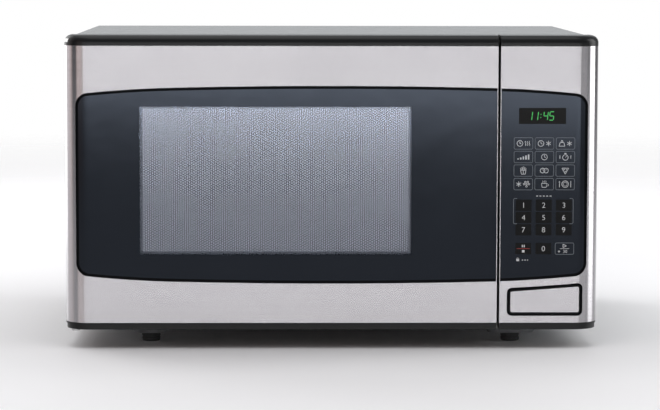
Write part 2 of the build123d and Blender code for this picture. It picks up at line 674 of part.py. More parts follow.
def outer_cabinet():
    """Wrap-around cover: two sides and the top, with a flange at the back."""
    outside = cover_section(0)
    cover = front_prism(outside - cover_section(COVER_T), FRAME_BACK, COVER_BACK)
    flange = outside - panel_sketch(-COVER_HALF + REAR_FLANGE, COVER_HALF - REAR_FLANGE,
                                    0, COVER_TOP - REAR_FLANGE)
    cover += front_prism(flange, COVER_BACK - SHEET, COVER_BACK)
    for i in range(10):
        y = REAR_Y - 137 + 9 * i
        for side in (-1, 1):
            x = side * COVER_HALF
            cover -= block(x - 2, x + 2, y, y + 3, BASE_Z + 34, BASE_Z + 74)
    for x, z in rear_screws():
        cover -= rod_y(x, z, SCREW_R, COVER_BACK - SHEET, COVER_BACK)
    return cover


def cover_section(inset):
    """Cross-section of the cabinet: square at the bottom and rounded at the top."""
    half = COVER_HALF - inset
    section = panel_sketch(-half, half, BASE_Z, COVER_TOP - inset)
    return fillet(section.vertices().group_by(Axis.Y)[-1], COVER_R - inset)


def rear_screws():
    """Places of the screws that hold the cover to the rear panel."""
    x = COVER_HALF - REAR_FLANGE / 2
    heights = (BASE_Z + 30, BASE_Z + 140, COVER_TOP - 34)
    top = COVER_TOP - REAR_FLANGE / 2
    tops = [(side * (HALF_W - 135.5), top) for side in (-1, 1)]
    return [(side * x, z) for side in (-1, 1) for z in heights] + tops


def cabinet_screws():
    """Pan-head screws round the back of the cabinet."""
    return [rod_y(x, z, SCREW_R, REAR_PANEL_Y - 5, COVER_BACK)
            + rod_y(x, z, SCREW_HEAD_R, COVER_BACK, COVER_BACK + SCREW_HEAD_T)
            for x, z in rear_screws()]


def rear_panel():
    """Rear sheet with the fan inlet, the exhaust slots and the cord opening."""
    y0, y1 = REAR_PANEL_Y, REAR_PANEL_Y + SHEET
    panel = front_prism(cover_section(COVER_T + 0.2), y0, y1)
    for row in range(12):
        z = FAN_Z - 46 + 8 * row
        panel -= block(FAN_X - 44, FAN_X + 44, y0, y1, z, z + 4)
        panel -= block(CAVITY_X - 130, CAVITY_X - 70, y0, y1, z, z + 4)
    for x, z in rear_screws():
        panel -= rod_y(x, z, SCREW_R, y0, y1)
    return panel - rod_y(GROMMET_X, GROMMET_Z, GROMMET_R, y0, y1)


def cord_grommet():
    """Cord inlet in the rear panel."""
    y0, y1 = REAR_PANEL_Y, REAR_PANEL_Y + SHEET
    body = rod_y(GROMMET_X, GROMMET_Z, GROMMET_R, y0 - 6, y1 + 4)
    body += rod_y(GROMMET_X, GROMMET_Z, GROMMET_R + 2.5, y1, y1 + 4)
    return body - rod_y(GROMMET_X, GROMMET_Z, 4.0, y0 - 6, y1 + 4)


def rear_spacers():
    """Two moulded spacers that keep the oven off the wall."""
    y0 = REAR_PANEL_Y + SHEET
    z = TRIM_TOP - 28.5
    return [block(x - 9, x + 9, y0, REAR_Y, z - 9, z + 9) - block(x - 6, x + 6, y0, REAR_Y - 2, z - 6, z + 6)
            for x in (-HALF_W + 65.5, HALF_W - 155.5)]


def base_plate():
    """Base sheet with side flanges, cooling slots and pressed foot pads."""
    y0, y1 = FRAME_BACK, REAR_PANEL_Y
    plate = block(-INNER_HALF, INNER_HALF, y0, y1, BASE_Z, BASE_TOP)
    for side in (-1, 1):
        edge = sorted((side * INNER_HALF, side * (INNER_HALF - SHEET)))
        plate += block(*edge, y0 + 6, y1 - 12, BASE_TOP, BASE_TOP + 12)
    for i in range(9):
        x = FILTER_X0 + 9 * i
        plate -= block(x, x + 4, REAR_Y - 112, REAR_Y - 72, BASE_Z, BASE_TOP)
    for x, y, width in foot_places():
        middle = Pos(x, y, BASE_Z)
        drop = Plane.XY.rotated((180, 0, 0))
        rim = RectangleRounded(width, PAD_D, PAD_R)
        inner_rim = RectangleRounded(width - 2, PAD_D - 2, PAD_R - 1)
        dish = extrude(drop * inner_rim, PAD_H - SHEET, taper=PAD_TAPER)
        plate += middle * extrude(drop * rim, PAD_H, taper=PAD_TAPER)
        plate -= middle * (dish + extrude(inner_rim, SHEET))
        plate -= rod_z(x, y, STUD_R, FOOT_H, BASE_TOP)
    return plate


def foot_places():
    """Middle of each foot, with the width of its pad."""
    return [(side * FOOT_X, y, PAD_WIDTHS[side > 0])
            for side in (-1, 1) for y in (FRONT_FOOT_Y, REAR_FOOT_Y)]


def feet():
    """Four rubber feet with studs that push through the pads."""
    made = []
    for x, y, _ in foot_places():
        foot = Pos(x, y, FOOT_H / 2) * Cone(FOOT_R, FOOT_R + 0.5, FOOT_H)
        foot += rod_z(x, y, STUD_R, FOOT_H, FOOT_H + SHEET + 2)
        foot += rod_z(x, y, STUD_R + 1, FOOT_H + SHEET, FOOT_H + SHEET + 1.5)
        made.append(foot)
    return made


# ---- cooking cavity

def oven_cavity():
    """Enamelled steel cavity, open at the front."""
    y0, y1 = FRAME_BACK, CAVITY_BACK + SHEET
    cavity = block(CAVITY_LEFT - SHEET, WALL_OUT, y0, y1, FLOOR_Z - SHEET, CEILING_Z + SHEET)
    cavity -= block(CAVITY_LEFT, CAVITY_RIGHT, y0, CAVITY_BACK, FLOOR_Z, CEILING_Z)
    z0, z1 = MAGNETRON_Z - PORT_HALF_H, MAGNETRON_Z + PORT_HALF_H
    cavity -= block(CAVITY_RIGHT, WALL_OUT, PORT_Y0, PORT_Y1, z0, z1)
    cavity -= vent_holes(CAVITY_RIGHT, WALL_OUT, DUCT_Y0 + 8, MAGNETRON_Z - 10, 4, 4)
    cavity -= vent_holes(CAVITY_RIGHT, WALL_OUT, LAMP_Y - 8, LAMP_Z - 8, 3, 3)
    cavity -= vent_holes(CAVITY_LEFT - SHEET, CAVITY_LEFT, TABLE_Y + 60, MAGNETRON_Z, 8, 4)
    return cavity - rod_z(CAVITY_X, TABLE_Y, SHAFT_R + 3, FLOOR_Z - SHEET, FLOOR_Z)


def vent_holes(x0, x1, y, z, columns, rows):
    """A grid of small air holes through a side wall."""
    pitch, radius = 8.0, 2.0
    return [rod_x(y + pitch * i, z + pitch * j, radius, x0, x1)
            for i in range(columns) for j in range(rows)]


def waveguide():
    """Box that leads from the magnetron to the port in the cavity wall."""
    z0, z1 = MAGNETRON_Z - WAVEGUIDE_H / 2, MAGNETRON_Z + WAVEGUIDE_H / 2
    box = tray_shell(WALL_OUT, YOKE_X, WAVEGUIDE_Y0, WAVEGUIDE_Y1, z0, z1, SHEET, "-x")
    return box - rod_x(MAGNETRON_Y, MAGNETRON_Z, 10, YOKE_X - SHEET, YOKE_X)


def waveguide_cover():
    """Mica sheet over the port, inside the cavity."""
    z0, z1 = MAGNETRON_Z - WAVEGUIDE_H / 2 - 6, MAGNETRON_Z + WAVEGUIDE_H / 2 + 6
    return block(CAVITY_RIGHT - 0.5, CAVITY_RIGHT, WAVEGUIDE_Y0 - 4, WAVEGUIDE_Y1 + 4, z0, z1)


def air_duct():
    """Moulded duct that takes the magnetron's cooling air to the cavity."""
    z0, z1 = MAGNETRON_Z - YOKE_HALF, MAGNETRON_Z + YOKE_HALF
    duct = tray_shell(WALL_OUT, YOKE_X + YOKE_L, DUCT_Y0, YOKE_Y0, z0, z1, 1.5, "+y")
    duct -= block(WALL_OUT, YOKE_X, WAVEGUIDE_Y0, YOKE_Y0, z0, z1)
    return duct - block(WALL_OUT, WALL_OUT + 1.5, DUCT_Y0 + 1.5, WAVEGUIDE_Y0 - 1.5, z0 + 1.5, z1 - 1.5)


# ---- magnetron

def magnetron_frame():
    """Steel yoke round the magnets, open to the cooling air."""
    x0, x1 = YOKE_X, YOKE_X + YOKE_L
    outer = block(x0, x1, YOKE_Y0, YOKE_Y1, MAGNETRON_Z - YOKE_HALF, MAGNETRON_Z + YOKE_HALF)
    outer -= block(x0 + YOKE_T, x1 - YOKE_T, YOKE_Y0, YOKE_Y1,
                   MAGNETRON_Z - YOKE_HALF + YOKE_T, MAGNETRON_Z + YOKE_HALF - YOKE_T)
    return outer - rod_x(MAGNETRON_Y, MAGNETRON_Z, 10, x0, x0 + YOKE_T) - rod_x(MAGNETRON_Y, MAGNETRON_Z, 8, x1 - YOKE_T, x1)


def magnetron_magnets():
    """Two ring magnets."""
    return [rod_x(MAGNETRON_Y, MAGNETRON_Z, MAGNET_R, *span) - rod_x(MAGNETRON_Y, MAGNETRON_Z, 10, *span)
            for span in MAGNET_SPANS]


def magnetron_anode():
    """Anode with its cooling fins, the antenna into the waveguide and the cathode stem."""
    x0, x1 = MAGNET_SPANS[0][1], MAGNET_SPANS[1][0]
    anode = rod_x(MAGNETRON_Y, MAGNETRON_Z, ANODE_R, x0, x1)
    pitch = (x1 - x0) / FINS
    for i in range(FINS):
        x = x0 + pitch * (i + 0.5)
        half_z = YOKE_HALF - YOKE_T
        anode += block(x - 0.3, x + 0.3, YOKE_Y0 + 2, YOKE_Y1 - 2,
                       MAGNETRON_Z - half_z, MAGNETRON_Z + half_z)
    anode += rod_x(MAGNETRON_Y, MAGNETRON_Z, 7.5, YOKE_X - 22, x0)
    return anode + rod_x(MAGNETRON_Y, MAGNETRON_Z, 7.0, x1, YOKE_X + YOKE_L)


def filter_box():
    """Shielded box over the cathode leads, with its feed-through."""
    x0 = YOKE_X + YOKE_L
    y, z = MAGNETRON_Y, MAGNETRON_Z
    box = tray_shell(x0, x0 + 26, y - 30, y + 30, z - 26, z + 26, SHEET, "-x")
    feed = block(x0 + 6, x0 + 20, y - 12, y + 12, z - 36, z - 26)
    for y in (MAGNETRON_Y - 6, MAGNETRON_Y + 6):
        feed += block(x0 + 12.6, x0 + 13.4, y - 3, y + 3, z - 46, z - 36)
    return box + feed


# ---- cooling fan

def fan_shroud():
    """Moulded wall with the fan's ring, fixed to the rear panel by two sides."""
    x0, x1 = WALL_OUT + 2, COVER_HALF - REAR_FLANGE + 0.5
    y1 = SHROUD_Y + SHROUD_T
    z0, z1 = FILTER_Z0 - 4, COVER_TOP - 4
    wall = block(x0, x1, SHROUD_Y, y1, z0, z1)
    wall += rod_y(FAN_X, FAN_Z, FAN_RING_R + 2, y1, y1 + 22)
    wall -= rod_y(FAN_X, FAN_Z, FAN_RING_R, SHROUD_Y, y1 + 22)
    for a, b in ((x0, x0 + SHROUD_T), (x1 - SHROUD_T, x1)):
        wall += block(a, b, y1, REAR_PANEL_Y, z0, z1)
    for x, z in board_posts():
        wall += rod_y(x, z, 3, SHROUD_Y - FILTER_POST, SHROUD_Y)
    for z in (FAN_Z - 30, FAN_Z + 30):
        wall += block(FAN_X - FAN_RING_R - 1, FAN_X + FAN_RING_R + 1, SHROUD_Y, y1, z - 4, z + 4)
    return wall


def board_posts():
    """Four posts that carry the filter board."""
    return [(x, z) for x in (FILTER_X0 + 5, FILTER_X1 - 5) for z in (FILTER_Z0 + 5, FILTER_Z1 - 5)]


def fan_motor():
    """Shaded-pole motor: laminated frame, coil and legs that stand on the shroud's bars."""
    y1 = SHROUD_Y
    frame = block(FAN_X - 25, FAN_X + 25, y1 - 28, y1 - 14, FAN_Z - 38, FAN_Z + 22)
    frame -= block(FAN_X - 15, FAN_X + 15, y1 - 28, y1 - 14, FAN_Z - 28, FAN_Z - 17)
    frame += block(FAN_X - 14, FAN_X + 14, y1 - 33, y1 - 9, FAN_Z - 37, FAN_Z - 28)
    frame += rod_y(FAN_X, FAN_Z, 9, y1 - 33, y1 - 9)
    for z in (FAN_Z - 30, FAN_Z + 30):
        lug = min(max(z, FAN_Z - 33), FAN_Z + 17)
        for x in (FAN_X - 20, FAN_X + 20):
            frame += rod_y(x, lug, 2.5, y1 - 14, y1) if z < FAN_Z else block(
                x - 2.5, x + 2.5, y1 - 14, y1, lug - 3, z)
    return frame - rod_y(FAN_X, FAN_Z, 2.0 + GAP, y1 - 30, y1 - 9)


def fan():
    """Axial fan with its shaft."""
    y0 = SHROUD_Y + SHROUD_T + 4
    y1 = y0 + FAN_DEPTH
    wheel = rod_y(FAN_X, FAN_Z, 13, y0, y1)
    for i in range(FAN_BLADES):
        blade = Pos((FAN_R + 10) / 2, 0, 0) * Rot(35, 0, 0) * Box(FAN_R - 10, 1.6, 26)
        wheel += Pos(FAN_X, (y0 + y1) / 2, FAN_Z) * Rot(0, 360 / FAN_BLADES * i, 0) * blade
    wheel &= rod_y(FAN_X, FAN_Z, FAN_R, y0, y1)
    return wheel + rod_y(FAN_X, FAN_Z, 2.0, SHROUD_Y - 28, y0)


def filter_board():
    """Noise filter board with its choke coil, capacitor and fuse."""
    y1 = SHROUD_Y - FILTER_POST
    board = block(FILTER_X0, FILTER_X1, y1 - BOARD_T, y1, FILTER_Z0, FILTER_Z1)
    top = y1 - BOARD_T
    board += rod_y(FILTER_X0 + 28, FILTER_Z0 + 25, 14, top - 12, top)
    board -= rod_y(FILTER_X0 + 28, FILTER_Z0 + 25, 6, top - 12, top)
    board += block(FILTER_X0 + 50, FILTER_X0 + 66, top - 14, top, FILTER_Z0 + 8, FILTER_Z0 + 34)
    return board + block(FILTER_X0 + 72, FILTER_X0 + 80, top - 8, top, FILTER_Z0 + 12, FILTER_Z0 + 38)


# ---- high voltage parts

def transformer_core():
    """Laminated core with two windows, standing on the base plate."""
    x0, x1 = CORE_X - CORE_W / 2, CORE_X + CORE_W / 2
    y0, y1 = CORE_Y - CORE_D / 2, CORE_Y + CORE_D / 2
    core = block(x0, x1, y0, y1, BASE_TOP, BASE_TOP + CORE_H)
    for a, b in ((CORE_X - CORE_W / 2 + LIMB, CORE_X - CENTRE_LIMB / 2),
                 (CORE_X + CENTRE_LIMB / 2, CORE_X + CORE_W / 2 - LIMB)):
        core -= block(a, b, y0, y1, BASE_TOP + LIMB, BASE_TOP + CORE_H - LIMB)
    for side in (-1, 1):
        foot = sorted((CORE_Y + side * CORE_D / 2, CORE_Y + side * (CORE_D / 2 + 10)))
        core += block(x0, x1, *foot, BASE_TOP, BASE_TOP + 2)
    return core


def transformer_windings():
    """Primary and secondary windings round the centre limb."""
    z0, z1 = BASE_TOP + LIMB, BASE_TOP + CORE_H - LIMB
    height = (z1 - z0 - COIL_GAP) / 2
    coils = []
    for z in (z0, z1 - height):
        outline = RectangleRounded(CORE_W - 2 * LIMB, CORE_D + 2 * COIL_OUT, 9)
        hole = Rectangle(CENTRE_LIMB, CORE_D)
        coils.append(Pos(CORE_X, CORE_Y, z) * extrude(outline - hole, height))
    return coils


def capacitor():
    """Oval high voltage capacitor with two terminals."""
    can = Pos(CAN_X, CAN_Y, BASE_TOP) * extrude(SlotOverall(CAN_D, CAN_W, rotation=90), CAN_H)
    for y in (CAN_Y - 10, CAN_Y + 10):
        can += rod_z(CAN_X, y, 4, BASE_TOP + CAN_H, BASE_TOP + CAN_H + 4)
        can += block(CAN_X - 3, CAN_X + 3, y - 0.4, y + 0.4, BASE_TOP + CAN_H + 4, BASE_TOP + CAN_H + 12)
    return can


def capacitor_clamp():
    """Strap round the capacitor with a foot on the base plate."""
    t = 1.2
    strap = extrude(SlotOverall(CAN_D + 2 * t, CAN_W + 2 * t, rotation=90)
                    - SlotOverall(CAN_D, CAN_W, rotation=90), 16)
    clamp = Pos(CAN_X, CAN_Y, BASE_TOP + 40) * strap
    x = CAN_X - CAN_W / 2 - t
    clamp += block(x - t, x, CAN_Y - 8, CAN_Y + 8, BASE_TOP, BASE_TOP + 56)
    return clamp + block(x - 14, x, CAN_Y - 8, CAN_Y + 8, BASE_TOP, BASE_TOP + t)


def high_voltage_diode():
    """Diode between the capacitor and the earthed base plate."""
    x, y = CAN_X - CAN_W / 2 - 22, CAN_Y
    lead_z = BASE_TOP + 6
    diode = rod_x(y + 16, lead_z, 4, x - 11, x + 11)
    diode += rod_x(y + 16, lead_z, 0.8, x - 20, x + 20)
    return diode + block(x - 24, x - 16, y + 12, y + 20, BASE_TOP, lead_z)


# ---- lamp and cut-outs

def lamp_socket():
    """Lamp holder on the outside of the cavity wall."""
    socket = tray_shell(WALL_OUT, WALL_OUT + 24, LAMP_Y - 14, LAMP_Y + 14,
                        LAMP_Z - 14, LAMP_Z + 14, 1.5, "-x")
    return socket - rod_x(LAMP_Y, LAMP_Z, LAMP_BASE_R + GAP, WALL_OUT + 20, WALL_OUT + 24)


def cavity_lamp():
    """Small lamp with its glass bulb inside the holder."""
    bulb = rod_x(LAMP_Y, LAMP_Z, BULB_R, WALL_OUT + 4, WALL_OUT + 14)
    bulb = fillet(bulb.edges().group_by(Axis.X)[0], BULB_R - 1)
    return bulb + rod_x(LAMP_Y, LAMP_Z, LAMP_BASE_R, WALL_OUT + 14, WALL_OUT + 30)


def thermal_cutouts():
    """Thermal cut-outs on the cavity ceiling and on the magnetron."""
    top = rod_z(CAVITY_X, TABLE_Y, 8.5, CEILING_Z + SHEET, CEILING_Z + SHEET + 7)
    top += block(CAVITY_X - 14, CAVITY_X + 14, TABLE_Y - 4, TABLE_Y + 4,
                 CEILING_Z + SHEET, CEILING_Z + SHEET + 1)
    x, z = YOKE_X + YOKE_L / 2, MAGNETRON_Z + YOKE_HALF
    y = MAGNETRON_Y
    side = rod_z(x, y, 8.5, z, z + 7) + block(x - 14, x + 14, y - 4, y + 4, z, z + 1)
    return [top, side]


# ---- turntable

def turntable_motor():
    """Slow synchronous motor under the cavity floor."""
    z1 = FLOOR_Z - SHEET
    motor = rod_z(CAVITY_X, TABLE_Y, MOTOR_R, z1 - MOTOR_H, z1)
    for side in (-1, 1):
        x = CAVITY_X + side * (MOTOR_R + 3)
        motor += block(x - 6, x + 6, TABLE_Y - 5, TABLE_Y + 5, z1 - 1, z1)
    return motor - rod_z(CAVITY_X, TABLE_Y, SHAFT_R + GAP, z1 - MOTOR_H + 3, z1)


def drive_coupler():
    """Three-lobed coupler on the motor shaft, under the tray's hub."""
    coupler = rod_z(CAVITY_X, TABLE_Y, 8, FLOOR_Z + 2, TRAY_Z)
    for i in range(3):
        lobe = Pos(COUPLER_R / 2, 0, TRAY_Z - 3) * Box(COUPLER_R, 9, 6)
        coupler += Pos(CAVITY_X, TABLE_Y, 0) * Rot(0, 0, 120 * i) * lobe
    return coupler + rod_z(CAVITY_X, TABLE_Y, SHAFT_R, FLOOR_Z - SHEET - MOTOR_H + 4, FLOOR_Z + 2)


def glass_tray():
    """Glass tray with a raised rim and a hub ring that fits over the coupler."""
    tray = rod_z(CAVITY_X, TABLE_Y, TRAY_R, TRAY_Z, TRAY_Z + TRAY_T + TRAY_RIM_H)
    dish_z = TRAY_Z + TRAY_T
    dish = Pos(CAVITY_X, TABLE_Y, dish_z + TRAY_RIM_H / 2) * Cone(TRAY_R - 10, TRAY_R - 4, TRAY_RIM_H)
    under = rod_z(CAVITY_X, TABLE_Y, TRAY_R, TRAY_Z, dish_z + TRAY_RIM_H)
    under -= Pos(CAVITY_X, TABLE_Y, TRAY_Z + (TRAY_T + TRAY_RIM_H) / 2) * Cone(
        TRAY_R - 8, TRAY_R, TRAY_T + TRAY_RIM_H)
    tray -= dish
    tray -= under
    hub = rod_z(CAVITY_X, TABLE_Y, COUPLER_R + 5, TRAY_Z - 5, TRAY_Z)
    return tray + (hub - rod_z(CAVITY_X, TABLE_Y, COUPLER_R + 0.6, TRAY_Z - 5, TRAY_Z))


def roller_ring():
    """Moulded ring with a short axle for each roller."""
    centre = Pos(CAVITY_X, TABLE_Y, ROLLER_Z)
    outer, inner = RING_R + RING_W / 2, RING_R - RING_W / 2
    ring = centre * (Cylinder(outer, 7) - Cylinder(inner, 7))
    reach = ROLLER_TRACK + ROLLER_W / 2 + 2
    for i in range(ROLLERS):
        axle = rod_x(0, 0, AXLE_R, RING_R, reach) + rod_x(0, 0, AXLE_R + 0.6, reach - 1, reach)
        ring += centre * Rot(0, 0, roller_angle(i)) * axle
    return ring


def roller_angle(i):
    """Direction of a roller from the middle of the ring, in degrees."""
    return 30 + 360 / ROLLERS * i


def roller(i):
    """A roller on its axle."""
    x0, x1 = ROLLER_TRACK - ROLLER_W / 2, ROLLER_TRACK + ROLLER_W / 2
    wheel = rod_x(0, 0, ROLLER_R, x0, x1) - rod_x(0, 0, AXLE_R + GAP, x0, x1)
    return Pos(CAVITY_X, TABLE_Y, ROLLER_Z) * Rot(0, 0, roller_angle(i)) * wheel


# ---- latch housing, switches and release

def latch_housing():
    """Moulded channel behind the front frame: catches, lever bearings and switch seats."""
    y0 = FRAME_BACK
    y1 = SWITCH_Y + SWITCH_D + HOUSING_T
    channel = block(HOUSING_X0, HOUSING_X1, y0, y1, HOUSING_Z0, HOUSING_Z1)
    channel -= block(HOUSING_X0 + HOUSING_T, HOUSING_X1 - HOUSING_T, y0 + HOUSING_T, y1 - HOUSING_T,
                     HOUSING_Z0, HOUSING_Z1)
    channel -= hook_slots(y0, y0 + HOUSING_T)
    for z in HOOK_HEIGHTS:
        top = z - NOSE_H - GAP
        channel += block(LATCH_X0 + LEVER_ARM_W + 1.5, HOUSING_X1 - HOUSING_T,
                         y0, NOSE_FRONT - 1.5, top - 6, top)
    return channel - rod_x(LEVER_Y, LEVER_Z, LEVER_R + GAP, HOUSING_X0, HOUSING_X1)


def switch_heights():
    """Underside of each switch: one behind each hook, and the monitor switch between them."""
    return (LOWER_HOOK_Z - 4, LOWER_HOOK_Z + 30, LOWER_HOOK_Z + HOOK_PITCH - 4)


def interlock_switches():
    """Three microswitches held in the latch housing."""
    x = (LATCH_X0 + LATCH_X1) / 2
    bodies = []
    for z in switch_heights():
        body = block(x - 5, x + 5, SWITCH_Y, SWITCH_Y + SWITCH_D, z, z + SWITCH_H)
        for tab in (5, 14, 23):
            body += block(x + 5, x + 11, SWITCH_Y + 8, SWITCH_Y + 8.8, z + tab - 2, z + tab + 2)
        bodies.append(body)
    for i, z in ((0, HOOK_HEIGHTS[0]), (2, HOOK_HEIGHTS[1])):
        half = PLUNGER_H / 2 + GAP
        middle = z + HOOK_H / 2
        bodies[i] -= block(x - half, x + half, SWITCH_Y, SWITCH_Y + 8, middle - half, middle + half)
    return bodies


def switch_plunger(hook_z):
    """Plunger of a microswitch, pressed by a hook."""
    x = (LATCH_X0 + LATCH_X1) / 2
    half = PLUNGER_H / 2
    middle = hook_z + HOOK_H / 2
    return block(x - half, x + half, HOOK_TIP + GAP, SWITCH_Y + 6.5, middle - half, middle + half)


def release_lever():
    """Bell crank: the button pushes its lower arm and its rear arm lifts the lower hook."""
    lever = rod_x(LEVER_Y, LEVER_Z, LEVER_R, WALL_OUT + 1.2, STEM_X + 6.5)
    lever += block(LATCH_X0, LATCH_X0 + LEVER_ARM_W, LEVER_Y, LEVER_Y + LEVER_REACH,
                   LEVER_Z - LEVER_R, LEVER_Z + LEVER_R)
    return lever + block(STEM_X - 4.5, STEM_X + 4.5, LEVER_Y - LEVER_R, LEVER_Y + LEVER_R,
                         LEVER_Z - LEVER_DROP, LEVER_Z)


# ---- control panel

def button_outline(inset):
    """Open button outline: level below, rising to the right above."""
    x0, x1 = BUTTON_X0 + inset, BUTTON_X1 - inset
    z0 = BUTTON_Z0 + inset
    left = BUTTON_Z0 + BUTTON_LEFT_H - inset
    right = BUTTON_Z0 + BUTTON_RIGHT_H - inset
    middle = ((x0 + x1) / 2, (left + right) / 2 - BUTTON_SAG)
    edges = [Line((x0, left), (x0, z0)), Line((x0, z0), (x1, z0)), Line((x1, z0), (x1, right)),
             ThreePointArc((x1, right), middle, (x0, left))]
    face = make_face(edges)
    return fillet(face.vertices(), BUTTON_R - inset)


def button_prism(inset):
    """The button outline carried through the moulded front."""
    return front_prism(button_outline(inset), FRONT_Y, WALL_BACK + WALL)


def control_housing():
    """Control panel moulding: display opening, button opening, button guide and board posts."""
    body = bezel_housing(PANEL_X, HALF_W, FRAME_Y, PANEL_X)
    opening = panel_sketch(DISPLAY_X - DISPLAY_W / 2, DISPLAY_X + DISPLAY_W / 2,
                           DISPLAY_Z - DISPLAY_H / 2, DISPLAY_Z + DISPLAY_H / 2)
    body -= front_prism(opening, SEAT_Y, WALL_BACK)
    body -= button_prism(0) - bezel_slab(SKIN_T + SURROUND_DEPTH, DOOR_BACK, 0, TRIM_TOP)
    body -= button_prism(SURROUND_W)
    guide = block(PANEL_X + WALL, HALF_W - SKIN_T - WALL, GUIDE_Y, GUIDE_Y + GUIDE_T,
                  TRIM_BOTTOM + WALL, STEM_Z + 14)
    half = STEM_W / 2 + GAP
    guide -= block(STEM_X - half, STEM_X + half, GUIDE_Y, GUIDE_Y + GUIDE_T, STEM_Z - half, STEM_Z + half)
    guide -= rod_y(POST_X, STEM_Z, POST_R + GAP, GUIDE_Y, GUIDE_Y + GUIDE_T)
    body += guide
    for x, z in control_posts():
        body += rod_y(x, z, 3, WALL_BACK, BOARD_Y)
    return body


def control_posts():
    """Four posts that carry the control board."""
    return [(x, z) for x in (BOARD_X0 + 6, BOARD_X1 - 12) for z in (BOARD_Z0 + 6, BOARD_Z1 - 6)]


def control_fascia():
    """Stainless skin of the control panel, with the button opening."""
    skin = bezel_skin(PANEL_X, HALF_W, PANEL_X)
    return skin - button_prism(0)


def keypad_panel():
    """Dark flat keypad with the display window cut out."""
    panel = glass_blank(PANEL_X, HALF_W, PANEL_X, GLASS_INSET)
    return panel - display_blank()


def display_blank():
    """The display window's block."""
    return block(DISPLAY_X - DISPLAY_W / 2, DISPLAY_X + DISPLAY_W / 2, GLASS_FRONT, GLASS_BACK,
                 DISPLAY_Z - DISPLAY_H / 2, DISPLAY_Z + DISPLAY_H / 2)


def display_module():
    """Digit display on legs that stand on the control board."""
    y0 = WALL_BACK + 0.5
    module = block(DISPLAY_X - 25, DISPLAY_X + 25, y0, y0 + 9, DISPLAY_Z - 11, DISPLAY_Z + 11)
    for x in (DISPLAY_X - 22, DISPLAY_X + 22):
        for z in (DISPLAY_Z - 8, DISPLAY_Z + 8):
            module += rod_y(x, z, 1.5, y0 + 9, BOARD_Y)
    return module


def control_board():
    """Printed circuit board of the control panel."""
    return block(BOARD_X0, BOARD_X1, BOARD_Y, BOARD_Y + BOARD_T, BOARD_Z0, BOARD_Z1)


def board_parts():
    """Relays, transformer, buzzer and connector on the back of the control board."""
    y0 = BOARD_Y + BOARD_T
    made = [block(BOARD_X0 + x, BOARD_X0 + x + w, y0, y0 + d, BOARD_Z0 + z, BOARD_Z0 + z + h)
            for x, w, z, h, d in ((8, 16, 20, 20, 15), (30, 16, 20, 20, 15), (12, 32, 56, 28, 20),
                                  (50, 8, 60, 30, 9), (10, 40, 100, 8, 7))]
    return made + [rod_y(BOARD_X0 + 58, BOARD_Z0 + 32, 7, y0, y0 + 8)]


def open_button():
    """Moulded button with its retaining lip, stem and spring post."""
    reach = bezel_slab(SKIN_T, DOOR_BACK, SKIN_BOTTOM, SKIN_TOP)
    body = front_prism(button_outline(SURROUND_W + BUTTON_CLEAR), FRONT_Y - 1, BUTTON_BACK) & reach
    lip_front = WALL_BACK + GAP
    body += front_prism(button_outline(SURROUND_W - 1), lip_front, BUTTON_BACK)
    half = STEM_W / 2
    body += block(STEM_X - half, STEM_X + half, BUTTON_BACK, STEM_TIP_Y - 4, STEM_Z - half, STEM_Z + half)
    body += block(STEM_X - 3, STEM_X + 3, STEM_TIP_Y - 4, STEM_TIP_Y,
                  STEM_Z - STEM_TIP_H / 2, STEM_Z + STEM_TIP_H / 2)
    return body + rod_y(POST_X, STEM_Z, POST_R, BUTTON_BACK, GUIDE_Y + GUIDE_T + 4)


def button_cap():
    """Stainless cap on the front of the button."""
    rim = button_prism(SURROUND_W + BUTTON_CLEAR)
    shell = bezel_slab(0, DOOR_BACK, SKIN_BOTTOM, SKIN_TOP) - bezel_slab(
        SKIN_T, DOOR_BACK, SKIN_BOTTOM, SKIN_TOP)
    return rim & shell


def button_spring():
    """Spring that pushes the button out."""
    length = GUIDE_Y - BUTTON_BACK - 2 * GAP
    spring = coil_spring(SPRING_R, SPRING_WIRE, length, 7)
    return Pos(POST_X, GUIDE_Y - GAP, STEM_Z) * Rot(90, 0, 0) * spring


# ---- every piece by name

